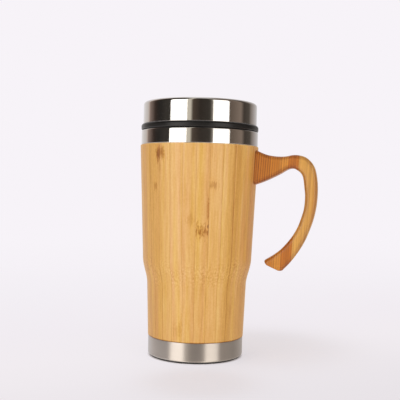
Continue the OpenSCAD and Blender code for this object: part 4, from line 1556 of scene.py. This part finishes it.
@dataclass
class Studio:
    """Camera, pale floor, white surroundings and soft lights, in metres."""

    camera_turn: float = 11.0
    camera_distance: float = 0.5323
    camera_z: float = 0.11835
    near_clip: float = 0.01
    yaw: float = 0.125
    pitch: float = 0.80
    roll: float = 1.30
    lens: float = 66.62
    floor_r: float = 12.0
    floor_colour: str = "#F4EEF1"
    # Between these distances from the mug's axis the paper under the foot gives way to the
    # tone, with its painted shade, that the camera sees round it
    contact: Pair = (0.0325, 0.0345)
    # Where the floor keeps its shade: place, share of that tone there and radius of the shade
    shades: tuple[tuple[Point, float, float], ...] = (
        ((0.0185, -0.0779, 0.0), 0.63, 0.035), ((0.0417, 0.0392, 0.0), 0.60, 0.068))
    shade_power: float = 5.0
    # The table's tone, darkened with painted shade towards the front right corner and paler to the
    # far left, and the line it runs along
    table_shade_tones: Stops = (
        (0.0, "#E6E1E5"), (0.06, "#EBE6EA"), (0.10, "#EFEAEE"), (0.14, "#F1ECF0"),
        (0.21, "#F1ECF1"), (0.39, "#F3EFF4"), (0.60, "#F5F1F6"), (1.0, "#F7F3F8"))
    table_line: Point = (-0.68, 0.89, 0.0)
    table_reach: Pair = (-0.2, 1.3)
    # Between these distances from the mug the table takes the backdrop's tone
    table_fade: Pair = (0.35, 1.6)
    backdrop_colour: str = "#F7F3F8"
    room_level: float = 0.60
    light_distance: float = 1.25
    light_colour: Point = (1.0, 0.985, 0.96)
    lights: tuple[Softbox, ...] = (
        Softbox("left_softbox", -43.1, 34.1, 0.02, 0.95, 2.2),
        Softbox("right_softbox", 41.8, 33.4, 0.02, 0.95, 1.84),
        Softbox("rear_fill", 180.0, 60.0, 0.10, 1.20, 0.5, False))
    # What steel sees round the mug, by its turn from the camera's side, and on the table
    surroundings: Stops = (
        (0.0, "#E4E1E2"), (0.03, "#E9E6E8"), (0.05, "#F2EFF2"), (0.135, "#DAD3D0"),
        (0.15, "#D0C1BA"), (0.165, "#94827A"), (0.215, "#423631"), (0.24, "#322D2A"),
        (0.262, "#302D2B"), (0.30, "#3E3A36"), (0.405, "#3E3A36"), (0.425, "#DCD6CA"),
        (0.446, "#DDD5C6"), (0.458, "#574B42"), (0.50, "#38312C"), (0.548, "#3E3934"),
        (0.558, "#544E47"), (0.567, "#9A938A"), (0.575, "#564E46"), (0.66, "#65584E"),
        (0.745, "#8F7F74"), (0.771, "#4A423C"), (0.82, "#5A534C"), (0.845, "#948A84"),
        (0.89, "#BDB6B5"), (0.95, "#D8D5D6"), (0.97, "#DCD9DA"), (1.0, "#E4E1E2"))
    table_glow: Stops = (
        (0.0, "#94928F"), (0.08, "#A8A6A8"), (0.20, "#B5B1B0"), (0.31, "#B3AEAC"),
        (0.322, "#FFF7EF"), (0.412, "#FFF7EF"),
        (0.424, "#9E9893"), (0.561, "#9C9591"), (0.573, "#F5EDE4"), (0.655, "#F2EAE1"),
        (0.667, "#9E9893"), (0.80, "#9A948F"), (1.0, "#95908C"))
    table_level: float = 2.2
    ceiling_colour: str = "#F4F2F1"
    ceiling_rise: Pair = (0.95, 0.99)

    def build(self) -> None:
        """Build the studio round the mug."""
        self.camera()
        self.floor()
        self.world()
        for light in self.lights:
            self.softbox(light)

    def camera(self) -> None:
        """Set the camera where the photograph was taken from."""
        turn = math.radians(self.camera_turn)
        ahead = Vector((-math.sin(turn), math.cos(turn), 0.0))
        right = Vector((math.cos(turn), math.sin(turn), 0.0))
        place = Vector((0, 0, self.camera_z)) - ahead * self.camera_distance
        look, right = swung(ahead, right, self.yaw)
        up, look = swung(Vector((0, 0, 1)), look, self.pitch)
        right, up = swung(right, up, self.roll)
        lens = bpy.data.cameras.new("camera")
        lens.lens = self.lens
        lens.clip_start = self.near_clip
        camera = bpy.data.objects.new("camera", lens)
        turned = Matrix((right, up, -look)).transposed()
        camera.matrix_world = Matrix.Translation(place) @ turned.to_4x4()
        bpy.context.scene.collection.objects.link(camera)
        bpy.context.scene.camera = camera

    def seen(self, add: Add) -> Socket:
        """Share of a ray that comes from the camera, straight or through a clear piece.

        Args:
            add: Adds a node to the material or the world.

        Returns:
            The share, none or one.
        """
        path = add("LightPath", out=None)
        return add("Math", path["Is Camera Ray"], path["Is Transmission Ray"],
                   operation="MAXIMUM")

    def floor(self) -> None:
        """Lay a round pale floor whose far part runs out into the white surroundings."""
        bm = bmesh.new()
        bmesh.ops.create_circle(bm, cap_ends=True, segments=96, radius=self.floor_r)
        mesh = bpy.data.meshes.new("floor")
        bm.to_mesh(mesh)
        bm.free()
        floor = bpy.data.objects.new("floor", mesh)
        bpy.context.scene.collection.objects.link(floor)
        material, add = new_material("matt_table_paper")
        place = add("TexCoord", out="Object")
        foot = add("VectorMath", place, out="Value", operation="LENGTH")
        far = add("MapRange", foot, *self.contact)
        for centre, near, radius in self.shades:
            away = add("VectorMath", place, centre, out="Value", operation="DISTANCE")
            away = add("Math", away, self.shade_power, operation="POWER")
            lit = add("Math", away, radius ** self.shade_power)
            lit = add("Math", away, lit, operation="DIVIDE")
            lit = add("MapRange", lit, 0.0, 1.0, near, 1.0)
            far = add("Math", far, lit, operation="MULTIPLY")
        paper = add("BsdfPrincipled", links={
            "Base Color": linear(self.floor_colour), "Roughness": 0.7})
        # Painted shade: the tone that the camera sees darkens towards the front right corner
        tone = add("VectorMath", place, self.table_line, out="Value", operation="DOT_PRODUCT")
        tone = add("MapRange", tone, *self.table_reach)
        tone = add("ValToRGB", tone, stops=self.table_shade_tones)
        fade = add("MapRange", foot, *self.table_fade)
        tone = add("Mix", fade, links={6: tone, 7: linear(self.backdrop_colour)}, out=2,
                   data_type="RGBA")
        far = add("Math", far, self.seen(add), operation="MULTIPLY")
        add("OutputMaterial", add("MixShader", far, paper, add("Emission", tone)))
        mesh.materials.append(material)
        floor.visible_glossy = False

    def world(self) -> None:
        """White to the camera, an even light on the mug, and a studio for steel to mirror."""
        world = bpy.data.worlds.new("studio")
        world.use_nodes = True
        world.node_tree.nodes.clear()
        add = partial(add_node, world.node_tree)
        path = add("LightPath", out=None)
        around = add("Mapping", add("TexCoord", out="Generated"), vector_type="VECTOR",
                     links={"Rotation": (0.0, 0.0, math.radians(90 - self.camera_turn))})
        axes = add("SeparateXYZ", around, out=None)
        turn = add("Math", axes[1], axes[0], operation="ARCTAN2")
        turn = add("MapRange", turn, -math.pi, math.pi)
        wall = add("ValToRGB", turn, stops=self.surroundings)
        rise = add("MapRange", axes[2], *self.ceiling_rise, interpolation_type="SMOOTHSTEP")
        above = add("Mix", rise, links={6: wall, 7: linear(self.ceiling_colour)}, out=2,
                    data_type="RGBA")
        table = add("Background", add("ValToRGB", turn, stops=self.table_glow), self.table_level)
        up = add("Math", axes[2], 0.0, operation="GREATER_THAN")
        mirrored = add("MixShader", up, table, add("Background", above))
        even = add("Background", linear("#FFFFFF"), self.room_level)
        white = add("Background", linear(self.backdrop_colour))
        # Steel mirrored in steel, as deep inside the liner, sees the pale room above
        once = add("Math", path["Glossy Depth"], 1.5, operation="LESS_THAN")
        steel = add("MixShader", once, white, mirrored)
        lit = add("MixShader", path["Is Glossy Ray"], even, steel)
        add("OutputWorld", add("MixShader", self.seen(add), lit, white))
        bpy.context.scene.world = world

    def softbox(self, box: Softbox) -> None:
        """Stand a soft light beside the camera's view.

        Args:
            box: Its place, size and level.
        """
        width = 2 * self.light_distance * math.tan(math.radians(box.spread / 2))
        height = box.high - box.low
        lamp = bpy.data.lights.new(box.name, "AREA")
        lamp.shape = "RECTANGLE"
        lamp.size = width
        lamp.size_y = height
        lamp.energy = box.level * math.pi * width * height
        lamp.color = self.light_colour
        light = bpy.data.objects.new(box.name, lamp)
        turn = math.radians(self.camera_turn + box.turn)
        away = Vector((math.sin(turn), -math.cos(turn), 0.0))
        place = away * self.light_distance + Vector((0, 0, (box.low + box.high) / 2))
        turned = away.to_track_quat("Z", "Y").to_matrix()
        light.matrix_world = Matrix.Translation(place) @ turned.to_4x4()
        light.visible_camera = False
        light.visible_glossy = box.mirrored
        bpy.context.scene.collection.objects.link(light)


def main() -> None:
    """Build the studio, the mug and its lid."""
    logging.basicConfig(level=logging.INFO, format="%(name)s: %(message)s")
    bpy.context.scene.view_settings.view_transform = "Standard"
    Studio().build()
    materials = {slot: finish.build() for slot, finish in FINISHES.items()}
    for assembly in (Sleeve, SteelBody, Handle, Lid, Slider):
        assembly(materials).build()
    for node, slot in (("liner_cradle", Slot.GREY), ("handle_screws", Slot.SCREW),
                       ("slider_pad", Slot.SILICONE), ("slider_clip", Slot.GREY)):
        dress_node(node, materials[slot])


if __name__ == "__main__":
    main()
